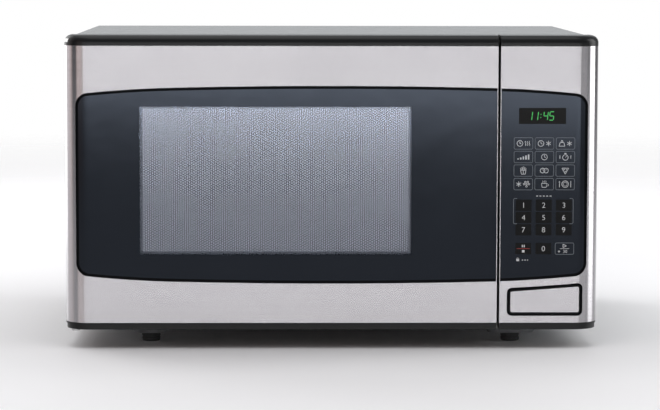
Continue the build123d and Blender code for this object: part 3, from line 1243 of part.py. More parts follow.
PIECES = {
    "door_housing": door_housing(),
    "door_fascia": bezel_skin(-HALF_W, DOOR_X, DOOR_X),
    "door_glass": glass_blank(-HALF_W, DOOR_X, DOOR_X, GLASS_INSET),
    "door_plate": door_plate(),
    "window_screen": window_screen(),
    "inner_film": inner_film(),
    "choke_cover": choke_cover(),
    "door_latch": door_latch(),
    "latch_spring": latch_spring(),
    "upper_hinge": upper_hinge(),
    "lower_hinge": lower_hinge(),
    "front_frame": front_frame(),
    "outer_cabinet": outer_cabinet(),
    "screws": cabinet_screws() + hinge_screws(),
    "rear_panel": rear_panel(),
    "cord_grommet": cord_grommet(),
    "rear_spacers": rear_spacers(),
    "base_plate": base_plate(),
    "feet": feet(),
    "oven_cavity": oven_cavity(),
    "waveguide": waveguide(),
    "waveguide_cover": waveguide_cover(),
    "air_duct": air_duct(),
    "magnetron_frame": magnetron_frame(),
    "magnetron_magnets": magnetron_magnets(),
    "magnetron_anode": magnetron_anode(),
    "filter_box": filter_box(),
    "fan_shroud": fan_shroud(),
    "fan_motor": fan_motor(),
    "fan": fan(),
    "filter_board": filter_board(),
    "transformer_core": transformer_core(),
    "transformer_windings": transformer_windings(),
    "capacitor": capacitor(),
    "capacitor_clamp": capacitor_clamp(),
    "high_voltage_diode": high_voltage_diode(),
    "lamp_socket": lamp_socket(),
    "cavity_lamp": cavity_lamp(),
    "thermal_cutouts": thermal_cutouts(),
    "turntable_motor": turntable_motor(),
    "drive_coupler": drive_coupler(),
    "glass_tray": glass_tray(),
    "roller_ring": roller_ring(),
    "latch_housing": latch_housing(),
    "interlock_switches": interlock_switches(),
    "lower_switch_plunger": switch_plunger(HOOK_HEIGHTS[0]),
    "upper_switch_plunger": switch_plunger(HOOK_HEIGHTS[1]),
    "release_lever": release_lever(),
    "control_housing": control_housing(),
    "control_fascia": control_fascia(),
    "keypad_panel": keypad_panel(),
    "display_window": display_blank(),
    "display_module": display_module(),
    "control_board": [control_board()] + board_parts(),
    "open_button": open_button(),
    "button_cap": button_cap(),
    "button_spring": button_spring(),
}
for number in range(ROLLERS):
    PIECES[f"roller_{number + 1}"] = roller(number)

os.makedirs("parts", exist_ok=True)
for name, piece in PIECES.items():
    solids = piece if isinstance(piece, list) else piece.solids()
    export_step(Compound(children=[s for item in solids for s in item.solids()]), f"parts/{name}.step")
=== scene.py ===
"""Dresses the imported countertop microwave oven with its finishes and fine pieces."""
import json
from math import atan2, cos, pi, radians, sin, tau

import bmesh
import bpy
from mathutils import Matrix, Vector


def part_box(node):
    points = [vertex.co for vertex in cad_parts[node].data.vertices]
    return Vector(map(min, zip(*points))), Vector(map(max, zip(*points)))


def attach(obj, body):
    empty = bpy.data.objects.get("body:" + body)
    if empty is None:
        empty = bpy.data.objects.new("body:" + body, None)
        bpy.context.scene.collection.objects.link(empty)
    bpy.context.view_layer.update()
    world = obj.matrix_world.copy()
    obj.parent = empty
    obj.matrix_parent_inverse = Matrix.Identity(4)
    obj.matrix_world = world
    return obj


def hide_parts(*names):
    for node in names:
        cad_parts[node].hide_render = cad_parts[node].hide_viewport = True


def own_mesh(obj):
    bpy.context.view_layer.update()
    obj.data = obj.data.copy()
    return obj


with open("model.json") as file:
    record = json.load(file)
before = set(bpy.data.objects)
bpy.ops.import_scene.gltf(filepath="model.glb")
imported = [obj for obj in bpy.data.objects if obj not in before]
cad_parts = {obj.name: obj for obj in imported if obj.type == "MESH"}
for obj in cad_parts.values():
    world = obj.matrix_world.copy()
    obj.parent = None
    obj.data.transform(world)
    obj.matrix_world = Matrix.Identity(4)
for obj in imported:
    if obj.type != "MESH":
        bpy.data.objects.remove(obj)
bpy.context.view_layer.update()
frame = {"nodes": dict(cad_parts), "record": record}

bl_info = {
    "name": "Countertop microwave oven",
    "version": (1, 0, 0),
    "blender": (4, 5, 0),
    "location": "3D View > Sidebar > Oven",
    "description": "Finishes and fine pieces of a countertop microwave oven",
    "category": "Object",
}

MM = 0.001


# ---- sizes and colours that can be changed

def linear(red, green, blue):
    """A display colour, 0 to 255, as linear numbers."""
    shares = (value / 255 for value in (red, green, blue))
    return tuple(s / 12.92 if s < 0.04045 else ((s + 0.055) / 1.055) ** 2.4 for s in shares)


def length(name, description, default):
    """A length property, given in millimetres."""
    return bpy.props.FloatProperty(name=name, description=description, default=default * MM,
                                   unit="LENGTH", min=0.0, precision=5)


def colour(name, description, default):
    """A colour property, given as a display colour."""
    return bpy.props.FloatVectorProperty(name=name, description=description, size=3,
                                         default=linear(*default), subtype="COLOR",
                                         min=0.0, max=1.0)


class OvenSizes(bpy.types.PropertyGroup):
    """Sizes of the fine pieces."""
    hole_pitch: length("Hole pitch", "Distance between the screen's holes in a column", 2.4)
    hole_radius: length("Hole radius", "Radius of a hole in the screen", 0.70)
    window_border: length("Window border", "Screen hidden behind the print of the glass", 4.0)
    blank_border: length("Blank border", "Edge without holes at the left and the bottom", 0.6)
    backing_gap: length("Backing gap", "Between the screen and the pale film behind it", 0.05)
    print_line: length("Printed line", "Width of the printed key outlines", 0.42)
    print_height: length("Print height", "How far the print stands off the panel", 0.05)
    key_width: length("Key width", "Width of an outlined key", 18.2)
    key_height: length("Key height", "Height of an outlined key", 11.35)
    key_pitch_x: length("Key column pitch", "Between columns of outlined keys", 20.05)
    key_pitch_z: length("Key row pitch", "Between rows of outlined keys", 12.97)
    key_drop: length("Key drop", "First row of keys below the display", 26.6)
    keys_shift: length("Key shift", "Middle column right of the display's middle", 2.1)
    pad_width: length("Number key width", "Width of a number key", 15.2)
    pad_height: length("Number key height", "Height of a number key", 10.9)
    pad_pitch_x: length("Number column pitch", "Between columns of number keys", 19.25)
    pad_pitch_z: length("Number row pitch", "Between rows of number keys", 11.8)
    pad_drop: length("Number drop", "First row of number keys below the display", 85.7)
    pads_shift: length("Number shift", "Middle number right of the display's middle", 1.9)
    zero_drop: length("Zero drop", "Key 0 below the display", 127.4)
    digit_height: length("Digit height", "Height of the printed numbers", 4.9)
    clock_height: length("Clock height", "Height of the display's digits", 8.0)
    clock_width: length("Clock digit width", "Width of a digit of the display", 3.9)
    clock_pitch: length("Clock pitch", "Between digits of the display", 5.35)
    clock_bar: length("Clock bar", "Width of a lit bar", 0.72)
    cap_rise: length("Cap rise", "How much higher the button's cap is at its right end", 5.0)
    cap_corner: length("Cap corner", "Corner radius of the button's cap", 2.6)
    # the cap's black edge line is partly the black rim's colour and partly painted shade of the
    # gap round the button
    cap_line: length("Cap line", "Black line on the edge of the button's cap", 0.95)
    mask_height: length("Display mask", "Height of the black mask round the display", 15.3)
    mask_drop: length("Mask drop", "Middle of the mask below the display's middle", 0.35)
    clock_shift: length("Clock shift", "Digits left of the display's middle", 0.9)
    button_wire: length("Button spring wire", "Wire of the button's spring", 0.9)
    latch_wire: length("Latch spring wire", "Wire of the latch's spring", 0.8)


class OvenColours(bpy.types.PropertyGroup):
    """Colours of the finishes."""
    steel: colour("Steel", "Brushed stainless steel", (175, 173, 176))
    moulding: colour("Moulding", "Black mouldings", (18, 20, 22))
    panel: colour("Panel", "Dark print of the door glass and the keypad", (11, 13, 16))
    pad: colour("Number keys", "Matt number keys", (31, 32, 33))
    outline: colour("Key outlines", "Printed outlines", (124, 132, 139))
    marks: colour("Marks", "Printed numbers and marks", (236, 239, 241))
    stop: colour("Stop mark", "Line on the stop key", (168, 50, 48))
    clock: colour("Clock", "Lit digits", (70, 205, 98))
    display: colour("Display", "Display window", (19, 19, 19))
    screen: colour("Screen", "Painted perforated screen", (46, 46, 48))
    # painted light: the pale film makes the screen's holes read as bright dots, in place of the
    # lit cavity seen through them
    backing: colour("Backing", "Pale film behind the screen", (218, 219, 221))
    paint: colour("Cabinet paint", "Gloss paint of the cabinet", (30, 31, 33))
    enamel: colour("Enamel", "Enamel of the cavity", (197, 197, 192))
    zinc: colour("Zinc", "Galvanised sheet", (186, 188, 190))
    rubber: colour("Rubber", "Feet and cord inlet", (44, 45, 46))
    floor: colour("Floor", "Floor of the stage", (243, 243, 244))


def sizes():
    """The sizes of this scene."""
    return bpy.context.scene.oven_sizes


def colours():
    """The colours of this scene."""
    return bpy.context.scene.oven_colours


def shaded(tone, share):
    """A colour made darker or lighter."""
    return tuple(min(1.0, value * share) for value in tone)


# ---- finishes

def math_node(operation):
    """A method that adds a Math node and gives it the channel as its first value."""
    def method(self, *others):
        values = dict(enumerate((self, *others)))
        return self.finish.node("ShaderNodeMath", {"operation": operation}, values)
    return method


class Channel:
    """A value that varies over a surface. Sums and products of channels add Math nodes."""

    def __init__(self, finish, socket):
        self.finish = finish
        self.socket = socket

    __add__ = __radd__ = math_node("ADD")
    __sub__ = math_node("SUBTRACT")
    __mul__ = __rmul__ = math_node("MULTIPLY")
    __truediv__ = math_node("DIVIDE")
    __gt__ = math_node("GREATER_THAN")
    __lt__ = math_node("LESS_THAN")
    root = math_node("SQRT")
    sine = math_node("SINE")
    above = math_node("MAXIMUM")
    size = math_node("ABSOLUTE")
    angle = math_node("ARCTAN2")

    def __rsub__(self, other):
        return self.finish.node("ShaderNodeMath", {"operation": "SUBTRACT"}, {0: other, 1: self})


class Finish:
    """A procedural material on a piece's own coordinates."""

    def __init__(self, tree):
        self.tree = tree

    def node(self, kind, settings, values, output=0):
        """Adds a node: its settings first, then the values and links of its sockets."""
        made = self.tree.nodes.new(kind)
        for name, setting in settings.items():
            if name == "stops":
                self.set_stops(made.color_ramp, setting)
            else:
                setattr(made, name, setting)
        for name, value in values.items():
            self.feed(made.inputs[name], value)
        return Channel(self, made.outputs[output])

    def set_stops(self, ramp, stops):
        """Gives a colour ramp its places and levels."""
        while len(ramp.elements) < len(stops):
            ramp.elements.new(0.5)
        for element, (position, level) in zip(ramp.elements, stops):
            element.position = position
            element.color = (*level, 1.0)

    def feed(self, socket, value):
        """Gives a socket a link or a fixed value."""
        if isinstance(value, Channel):
            self.tree.links.new(value.socket, socket)
        elif socket.type == "RGBA":
            socket.default_value = (*value, 1.0)
        else:
            socket.default_value = value

    def place(self, scale):
        """The piece's own coordinates, stretched."""
        own = self.node("ShaderNodeTexCoord", {}, {}, "Object")
        return self.node("ShaderNodeMapping", {}, {"Vector": own, "Scale": scale})

    def across(self, axis):
        """Distance along one axis, in metres."""
        own = self.node("ShaderNodeTexCoord", {}, {}, "Object")
        return self.node("ShaderNodeSeparateXYZ", {}, {"Vector": own}, axis)

    def noise(self, waves, detail=3.0):
        """Noise with so many waves in a metre, given once or for each axis."""
        scale = waves if isinstance(waves, tuple) else (waves, waves, waves)
        return self.node("ShaderNodeTexNoise", {}, {
            "Vector": self.place(scale), "Scale": 1.0, "Detail": detail, "Roughness": 0.55})

    def cells(self, count, output="Color"):
        """Cells with so many in a metre."""
        return self.node("ShaderNodeTexVoronoi", {}, {
            "Vector": self.place((count, count, count)), "Scale": 1.0}, output)

    def spread(self, channel, low, high):
        """Stretches a range of a channel to nought and one."""
        return self.node("ShaderNodeMapRange", {"clamp": True}, {
            "Value": channel, "From Min": low, "From Max": high})

    def blend(self, factor, first, second):
        """From one colour to another."""
        return self.node("ShaderNodeMix", {"data_type": "RGBA"}, {0: factor, 6: first, 7: second},
                         2)

    def shades(self, channel, tone, dark, pale):
        """A tone made darker where a channel is low and paler where it is high."""
        return self.blend(channel, shaded(tone, dark), shaded(tone, pale))

    def bump(self, height, distance):
        """Small relief, so many metres high."""
        return self.node("ShaderNodeBump", {}, {"Height": height, "Distance": distance,
                                                "Strength": 1.0})


def make_finish(name, fixed, varied):
    """A material: fixed shader values, then the channels that a function gives."""
    material = bpy.data.materials.new(name)
    material.use_nodes = True
    tree = material.node_tree
    tree.nodes.clear()
    shader = tree.nodes.new("ShaderNodeBsdfPrincipled")
    output = tree.nodes.new("ShaderNodeOutputMaterial")
    tree.links.new(shader.outputs["BSDF"], output.inputs["Surface"])
    finish = Finish(tree)
    for socket, value in {**fixed, **varied(finish)}.items():
        finish.feed(shader.inputs[socket], value)
    return material


def open_finish(material):
    """A material's tree, its shader and the socket of its surface, to add to them."""
    f = Finish(material.node_tree)
    shader = next(n for n in f.tree.nodes if n.type == "BSDF_PRINCIPLED")
    output = next(n for n in f.tree.nodes if n.type == "OUTPUT_MATERIAL")
    return f, Channel(f, shader.outputs["BSDF"]), output.inputs["Surface"]


def grained(name, tone, fine, broad, shades, rough, relief, fixed, spread=(0.3, 0.7), more=None):
    """A finish of one tone, with the relief of a fine noise and the shades of a broad one.

    A noise is given by its waves in a metre, its detail and its share of the roughness."""
    def varied(f):
        grain, cloud = f.noise(*fine[:2]), f.noise(*broad[:2])
        values = {
            "Base Color": f.shades(f.spread(cloud, *spread), tone, *shades),
            "Roughness": grain * fine[2] + cloud * broad[2] + rough,
            "Normal": f.bump(grain, relief),
        }
        return {**values, **more(f)} if more else values
    return make_finish(name, fixed, varied)


def veiled(name, tone, waves, detail, shades, share, rough, relief, fixed, more=None):
    """A finish of one tone whose shades, roughness and relief follow a single noise."""
    def varied(f):
        veil = f.noise(waves, detail)
        values = {
            "Base Color": f.shades(veil, tone, *shades),
            "Roughness": veil * share + rough,
        }
        if relief:
            values["Normal"] = f.bump(veil, relief)
        return {**values, **more(f, veil)} if more else values
    return make_finish(name, fixed, varied)


def cap_edge(f):
    """One on the edge of the button's cap, else nought: a black line, partly the black rim's own
    colour and partly painted shade of the gap round the button. The cap is lower at its left end.
    """
    low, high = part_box("button_cap")
    s = sizes()
    half_w, half_h = (high.x - low.x) / 2, (high.z - low.z) / 2
    x, z = f.across("X"), f.across("Z")
    grow = ((x - low.x) * (s.cap_rise / (high.x - low.x)) - s.cap_rise) * 0.5
    from_side = (x - (low.x + half_w)).size() - (half_w - s.cap_corner)
    from_end = (z - (low.z + half_h) - grow).size() - (grow + (half_h - s.cap_corner))
    sides, ends = from_side.above(0.0), from_end.above(0.0)
    return (sides * sides + ends * ends).root() > s.cap_corner - s.cap_line


def brushed_steel(name, tone, edge=None):
    """Stainless steel brushed across its width. An edge can be black instead, partly a rim's
    colour and partly painted shade of the gap round it.
    """
    def varied(f):
        cloud = f.noise((9, 9, 16), 2.0)
        grain = f.noise((12, 12, 2300), 2.0) * 0.75 + f.noise((3, 3, 420), 4.0) * 0.25
        steel = f.shades(f.spread(grain, 0.32, 0.68), tone, 0.92, 1.05)
        values = {
            "Base Color": steel,
            "Metallic": 1.0,
            "Roughness": grain * 0.08 + cloud * 0.04 + 0.16,
            "Normal": f.bump(grain, 0.000015),
        }
        if edge:
            # painted shade: black on the cap's edge stands partly for the black rim and partly for
            # the shade in the gap round the button
            black = edge(f)
            values["Base Color"] = f.blend(black, steel, tuple(colours().moulding))
            values["Metallic"] = 1.0 - black
        return values
    fixed = {"Specular IOR Level": 0.05, "Anisotropic": 1.0, "Anisotropic Rotation": 0.25}
    return make_finish(name, fixed, varied)


def moulded(name, tone, rough=0.45, grain=1400, relief=0.00002, shine=0.5):
    """Injection moulded plastic with a fine eroded grain."""
    return grained(name, tone, (grain, 3.0, 0.14), (14, 2.0, 0.06), (0.86, 1.12), rough - 0.1,
                   relief, {"Specular IOR Level": shine})


def front_moulding(name, tone):
    """Black mouldings of the front: gloss top and bottom trims, matt between them."""
    low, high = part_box("door_fascia")

    def trims(f):
        z = f.across("Z")
        return {"Coat Weight": ((z < low.z) + (z > high.z)) * 0.4}
    return grained(name, tone, (1500, 3.0, 0.14), (14, 2.0, 0.06), (0.86, 1.12), 0.3, 0.000012,
                   {"Specular IOR Level": 0.03, "Coat Roughness": 0.3}, more=trims)


def rolled_metal(name, tone, rough=0.35, waves=(40, 40, 900)):
    """Rolled or drawn bare metal with fine lines."""
    return grained(name, tone, (waves, 3.0, 0.18), (35, 3.0, 0.1), (0.82, 1.05), rough - 0.14,
                   0.00002, {"Metallic": 1.0})


def galvanised(name, tone):
    """Hot dipped zinc with its spangle."""
    def varied(f):
        spangle = f.node("ShaderNodeSeparateColor", {}, {"Color": f.cells(130)}, 0)
        haze = f.noise(260)
        return {
            "Base Color": f.shades(spangle * 0.7 + haze * 0.3, tone, 0.72, 1.02),
            "Roughness": spangle * 0.16 + haze * 0.1 + 0.28,
            "Normal": f.bump(haze, 0.00002),
        }
    return make_finish(name, {"Metallic": 1.0}, varied)


def painted(name, tone, rough=0.25, peel=0.00004, shine=0.5):
    """Gloss stoved paint with a little orange peel."""
    return grained(name, tone, (420, 2.0, 0.0), (60, 4.0, 0.1), (0.92, 1.12), rough - 0.05, peel,
                   {"Specular IOR Level": shine}, spread=(0.35, 0.65))


def enamel(name, tone):
    """Cavity enamel with fine specks, dark and pale."""
    def varied(f):
        dark, pale = f.noise(950, 1.0) > 0.71, f.noise(1300, 1.0) > 0.7
        ripple = f.noise(300, 2.0)
        base = f.blend(dark, tone, shaded(tone, 0.42))
        return {
            "Base Color": f.blend(pale, base, shaded(tone, 1.25)),
            "Roughness": ripple * 0.12 + 0.24,
            "Normal": f.bump(ripple, 0.00005),
        }
    return make_finish(name, {}, varied)


def inside_window(f):
    """One inside the clear window of the door glass, else nought."""
    low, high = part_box("window_screen")
    border = sizes().window_border
    x, z = f.across("X"), f.across("Z")
    wide = (x > low.x + border) * (x < high.x - border)
    return wide * ((z > low.z + border) * (z < high.z - border))


GLASS_TINT = (0.68, 0.79, 1.0)
SMOKE = (0.88, 0.89, 0.92)


def dark_glass(name, tone):
    """Door glass: dark print behind the border, smoked and clear in the window."""
    material = grained(name, tone, (45, 1.0, 0.0), (30, 2.0, 0.04), (0.9, 1.1), 0.12, 0.00006,
                       {"Specular IOR Level": 0.3, "Specular Tint": GLASS_TINT})
    f, shader, output = open_finish(material)
    smoke = f.node("ShaderNodeBsdfTransparent", {}, {"Color": SMOKE})
    shine = f.node("ShaderNodeBsdfGlossy", {}, {"Color": GLASS_TINT, "Roughness": 0.14})
    window = f.node("ShaderNodeMixShader", {}, {0: 0.028, 1: smoke, 2: shine})
    whole = f.node("ShaderNodeMixShader", {}, {0: inside_window(f), 1: shader, 2: window})
    f.feed(output, whole)
    return material


def key_sheet(name, tone):
    """Satin face of the keypad."""
    return grained(name, tone, (1600, 2.0, 0.04), (30, 2.0, 0.03), (0.95, 1.15), 0.11, 0.000008,
                   {"Specular IOR Level": 0.3, "Specular Tint": GLASS_TINT})


def perforated_paint(name, tone):
    """Thin dark paint on the perforated sheet."""
    return grained(name, tone, (900, 2.0, 0.06), (50, 3.0, 0.04), (0.92, 1.08), 0.15, 0.00001,
                   {"Specular IOR Level": 1.0, "IOR": 1.53})


def film(name, tone, alpha, rough=0.3, shine=0.5, index=1.5):
    """Thin plastic film with a least alpha."""
    return veiled(name, tone, 70, 3.0, (0.94, 1.04), 0.02, rough, 0.00002,
                  {"Specular IOR Level": shine, "IOR": index},
                  lambda f, veil: {"Alpha": veil * 0.04 + alpha})


def clear_glass(name, tone):
    """Clear pressed glass with faint flow lines."""
    return veiled(name, tone, (60, 60, 260), 2.0, (0.97, 1.0), 0.05, 0.04, 0.00004,
                  {"Transmission Weight": 1.0, "IOR": 1.5})


def printed(name, tone):
    """Screen printed ink."""
    return veiled(name, tone, 1800, 2.0, (0.85, 1.08), 0.2, 0.42, 0.00001, {})


def lit(name, tone):
    """Lit segments of the display, a little uneven."""
    return veiled(name, tone, 900, 2.0, (0.2, 0.3), 0.1, 0.4, 0, {"Emission Strength": 0.8},
                  lambda f, veil: {"Emission Color": f.shades(veil, tone, 0.85, 1.0)})


def striped(name, dark, pale, axis, pitch, rough, metal, relief):
    """Fine stripes across one axis: stacked sheets or wound wire."""
    def varied(f):
        stripe = (f.across(axis) * (tau / pitch)).sine() * 0.5 + 0.5
        haze = f.noise(60)
        return {
            "Base Color": f.blend(stripe * 0.8 + haze * 0.2, dark, pale),
            "Roughness": haze * 0.2 + (rough - 0.1),
            "Normal": f.bump(stripe, relief),
        }
    return make_finish(name, {"Metallic": metal}, varied)


def circuit(name, dark, pale, tin):
    """Printed board: laminate with tinned tracks."""
    def varied(f):
        edge = f.cells(170, "Distance")
        track = (edge > 0.42) * (edge < 0.5)
        weave = f.noise(700, 2.0)
        return {
            "Base Color": f.blend(track, f.blend(weave, dark, pale), tin),
            "Roughness": weave * 0.2 + 0.35,
            "Metallic": track * 0.8,
            "Normal": f.bump(track, 0.00004),
        }
    return make_finish(name, {}, varied)


def flaked(name, dark, pale, count, rough):
    """Small flakes or sintered grains."""
    def varied(f):
        flake = f.node("ShaderNodeSeparateColor", {}, {"Color": f.cells(count)}, 1)
        return {
            "Base Color": f.blend(flake, dark, pale),
            "Roughness": flake * 0.25 + (rough - 0.12),
            "Normal": f.bump(flake, 0.00003),
        }
    return make_finish(name, {"Metallic": 0.0}, varied)


def banded_diode(name, dark, pale):
    """Black moulded body with a pale band at one end."""
    low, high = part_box("high_voltage_diode")
    middle = (low.x + high.x) / 2

    def varied(f):
        x = f.across("X")
        band = (x > middle + 5 * MM) * (x < middle + 7.5 * MM)
        grain = f.noise(900, 2.0)
        return {
            "Base Color": f.blend(band, dark, pale),
            "Roughness": grain * 0.2 + 0.35,
            "Normal": f.bump(grain, 0.00002),
        }
    return make_finish(name, {}, varied)


def finishes():
    """A finish for each material slot of the record."""
    c = colours()
    rows = (
        ("stainless_skin", brushed_steel, c.steel),
        ("black_moulding", front_moulding, c.moulding),
        ("window_glass", dark_glass, c.panel),
        ("keypad", key_sheet, c.panel),
        ("display_lens", painted, c.display, 0.22, 0.000005, 0.06),
        ("display_body", moulded, linear(40, 40, 42), 0.5),
        ("perforated_screen", perforated_paint, c.screen),
        ("clear_film", film, linear(225, 228, 228), 0.18),
        ("cabinet_paint", painted, c.paint),
        ("cavity_enamel", enamel, c.enamel),
        ("galvanised_sheet", galvanised, c.zinc),
        ("hinge_steel", rolled_metal, linear(176, 176, 178), 0.38, 300),
        ("rubber", moulded, c.rubber, 0.8, 700, 0.00005),
        ("moulded_parts", moulded, linear(64, 64, 66), 0.55),
        ("white_moulding", moulded, linear(220, 220, 214), 0.48),
        ("button_moulding", moulded, linear(48, 48, 50), 0.5),
        ("switch_body", moulded, linear(56, 56, 60), 0.5),
        ("switch_plunger", moulded, linear(196, 72, 62), 0.45),
        ("spring_steel", rolled_metal, linear(184, 184, 186), 0.3, 900),
        ("mica", flaked, linear(150, 138, 108), linear(205, 194, 164), 420, 0.4),
        ("ferrite", flaked, linear(40, 40, 42), linear(76, 76, 78), 1600, 0.6),
        ("magnetron_metal", rolled_metal, linear(222, 222, 224), 0.32),
        ("motor_metal", striped, linear(120, 122, 124), linear(190, 192, 194),
         "Y", 0.5 * MM, 0.4, 1.0, 0.00003),
        ("fan_plastic", moulded, linear(78, 78, 82), 0.5),
        ("circuit_board", circuit, linear(104, 78, 40), linear(140, 108, 60),
         linear(176, 172, 160)),
        ("core_iron", striped, linear(70, 70, 72), linear(142, 142, 146),
         "Y", 0.6 * MM, 0.5, 0.9, 0.00006),
        ("copper_winding", striped, linear(120, 62, 28), linear(205, 128, 72),
         "Z", 0.9 * MM, 0.35, 0.9, 0.0002),
        ("can_metal", rolled_metal, linear(210, 210, 212), 0.3, (900, 900, 30)),
        ("diode_body", banded_diode, linear(30, 30, 32), linear(190, 190, 188)),
        ("lamp_glass", clear_glass, linear(250, 246, 236)),
        ("tray_glass", clear_glass, linear(236, 246, 243)),
    )
    return {slot: maker(slot, tuple(tone), *rest) for slot, maker, tone, *rest in rows}


def finish_named(name):
    """A finish by its name. Those that only fine pieces have are made when first asked for."""
    made = bpy.data.materials.get(name)
    if made:
        return made
    c = colours()
    maker, tone, *rest = {
        "key_print": (printed, c.outline),
        "mark_print": (printed, c.marks),
        "stop_print": (printed, c.stop),
        "number_key": (moulded, c.pad, 0.72, 900, 0.00003, 0.1),
        "clock_light": (lit, c.clock),
        # painted light: the pale film that makes the screen's holes bright
        "pale_film": (film, c.backing, 1.0, 0.19, 1.0, 2.3),
    }[name]
    return maker(name, tuple(tone), *rest)


# ---- shapes

MERGE = 1e-6
UPRIGHT = Matrix.Rotation(radians(90), 4, "X")


def add_object(name, data):
    """A new object of the scene."""
    made = bpy.data.objects.new(name, data)
    bpy.context.scene.collection.objects.link(made)
    return made


def make_mesh(name, bm):
    """Turns a bmesh into a mesh."""
    mesh = bpy.data.meshes.new(name)
    bm.to_mesh(mesh)
    bm.free()
    return mesh


def take_in(bm, mesh):
    """Adds a passing mesh to a bmesh."""
    bm.from_mesh(mesh)
    bpy.data.meshes.remove(mesh)


def evaluated(holder):
    """A new mesh of an object, with its modifiers applied or its text filled in."""
    bpy.context.view_layer.update()
    graph = bpy.context.evaluated_depsgraph_get()
    return bpy.data.meshes.new_from_object(holder.evaluated_get(graph))


def add_piece(name, bm, finish, body, slot, *replaced):
    """Turns a bmesh into a piece that rides on a body and can replace CAD nodes."""
    mesh = make_mesh(name, bm)
    mesh.shade_smooth()
    mesh.set_sharp_from_angle(angle=radians(34))
    piece = add_object(name, mesh)
    mesh.materials.append(finish_named(finish))
    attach(piece, body)
    if replaced:
        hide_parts(*replaced)
    return piece


def whole(bm):
    """All of a bmesh's geometry."""
    return bm.verts[:] + bm.edges[:] + bm.faces[:]


def move(bm, geom, step):
    """Moves the vertices that some geometry holds."""
    verts = [g for g in geom if isinstance(g, bmesh.types.BMVert)]
    bmesh.ops.translate(bm, verts=verts, vec=step)


def add_copy(bm, geom, step):
    """Copies geometry and moves the copy."""
    move(bm, bmesh.ops.duplicate(bm, geom=geom)["geom"], step)


def unit_square(bm, matrix):
    """A square of side one, put through a matrix. Gives its corners."""
    return bmesh.ops.create_grid(bm, x_segments=1, y_segments=1, size=0.5, matrix=matrix)["verts"]


def cut_corners(bm, corners, offset, segments):
    """Rounds or cuts the corners of a flat face and gives the new ones."""
    return bmesh.ops.bevel(bm, geom=corners, offset=offset, segments=segments, profile=0.5,
                           affect="VERTICES", material=-1)["verts"]


def inset(bm, face, width):
    """Draws a flat face in by a width, with a rim round it."""
    bmesh.ops.inset_region(bm, faces=[face], thickness=width, use_even_offset=True,
                           use_boundary=True)


def hollow(bm, face, width):
    """Leaves only a rim of a flat face."""
    inset(bm, face, width)
    bmesh.ops.delete(bm, geom=[face], context="FACES_ONLY")


def flat_pad(bm, x0, x1, z0, z1, radius=0.0):
    """A flat rectangle in width and height, its corners rounded by a radius."""
    middle = Matrix.Translation(((x0 + x1) / 2, (z0 + z1) / 2, 0))
    corners = unit_square(bm, middle @ Matrix.Diagonal((x1 - x0, z1 - z0, 1, 1)))
    if radius:
        corners = cut_corners(bm, corners, radius, 4)
    return corners[0].link_faces[0]


def flat_disc(bm, x, z, radius, sides=20):
    """A flat disc."""
    place = Matrix.Translation((x, z, 0))
    made = bmesh.ops.create_circle(bm, cap_ends=True, segments=sides, radius=radius, matrix=place)
    return made["verts"][0].link_faces[0]


def flat_bar(bm, a, b, width):
    """A straight bar between two points. Gives its corners."""
    run = Vector(b) - Vector(a)
    middle = (Vector(a) + Vector(b)) / 2
    turn = Matrix.Rotation(atan2(run.y, run.x), 4, "Z")
    shape = Matrix.Translation((*middle, 0)) @ turn @ Matrix.Diagonal((run.length, width, 1, 1))
    return unit_square(bm, shape)


def flat_path(bm, points, width):
    """Bars from point to point."""
    for a, b in zip(points, points[1:]):
        flat_bar(bm, a, b, width)


def face_front(bm, y):
    """Stands drawn marks up in front of a face at a depth."""
    bmesh.ops.transform(bm, matrix=Matrix.Translation((0, y, 0)) @ UPRIGHT, verts=bm.verts)


def raise_marks(bm, height, y):
    """Gives flat marks their thickness and stands them up in front of a face at a depth."""
    bmesh.ops.recalc_face_normals(bm, faces=bm.faces)
    for face in bm.faces:
        if face.normal.z < 0:
            face.normal_flip()
    bmesh.ops.solidify(bm, geom=bm.faces[:], thickness=height)
    lowest = min(v.co.z for v in bm.verts)
    bmesh.ops.translate(bm, verts=bm.verts, vec=(0, 0, -lowest))
    face_front(bm, y)


def add_number(bm, text, x, z, height, thickness):
    """A number as a raised shape, with its middle at a place."""
    curve = bpy.data.curves.new("number", "FONT")
    curve.body = text
    curve.extrude = thickness / 2
    curve.offset = -0.012
    holder = add_object("number", curve)
    mesh = evaluated(holder)
    bpy.data.objects.remove(holder)
    xs = [v.co.x for v in mesh.vertices]
    ys = [v.co.y for v in mesh.vertices]
    share = height / (max(ys) - min(ys))
    middle = Vector(((max(xs) + min(xs)) / 2, (max(ys) + min(ys)) / 2, 0))
    mesh.transform(Matrix.Translation((x, z, thickness / 2))
                   @ Matrix.Diagonal((share, share, 1, 1)) @ Matrix.Translation(-middle))
    take_in(bm, mesh)


def turned(profile, at, steps):
    """A round solid: a profile of radius and height in millimetres, spun about an upright axis."""
    bm = bmesh.new()
    verts = [bm.verts.new((r * MM, 0, z * MM)) for r, z in profile]
    edges = [bm.edges.new(pair) for pair in zip(verts, verts[1:])]
    bmesh.ops.spin(bm, geom=verts + edges, cent=(0, 0, 0), axis=(0, 0, 1), angle=tau, steps=steps,
                   use_merge=True)
    bmesh.ops.remove_doubles(bm, verts=bm.verts, dist=MERGE)
    bmesh.ops.recalc_face_normals(bm, faces=bm.faces)
    bmesh.ops.translate(bm, verts=bm.verts, vec=at)
    return bm


def coil(radius, wire, height, turns):
    """A helical spring that stands on the ground plane."""
    bm = bmesh.new()
    sides, steps = 8, turns * 20
    place = Matrix.Translation((radius, 0, wire / 2)) @ UPRIGHT
    bmesh.ops.create_circle(bm, cap_ends=False, segments=sides, radius=wire / 2, matrix=place)
    rise = Vector((0, 0, (height - wire) / steps))
    bmesh.ops.spin(bm, geom=whole(bm), cent=(0, 0, 0), axis=(0, 0, 1), dvec=rise,
                   angle=tau * turns, steps=steps)
    bmesh.ops.holes_fill(bm, edges=bm.edges, sides=sides)
    bmesh.ops.recalc_face_normals(bm, faces=bm.faces)
    return bm


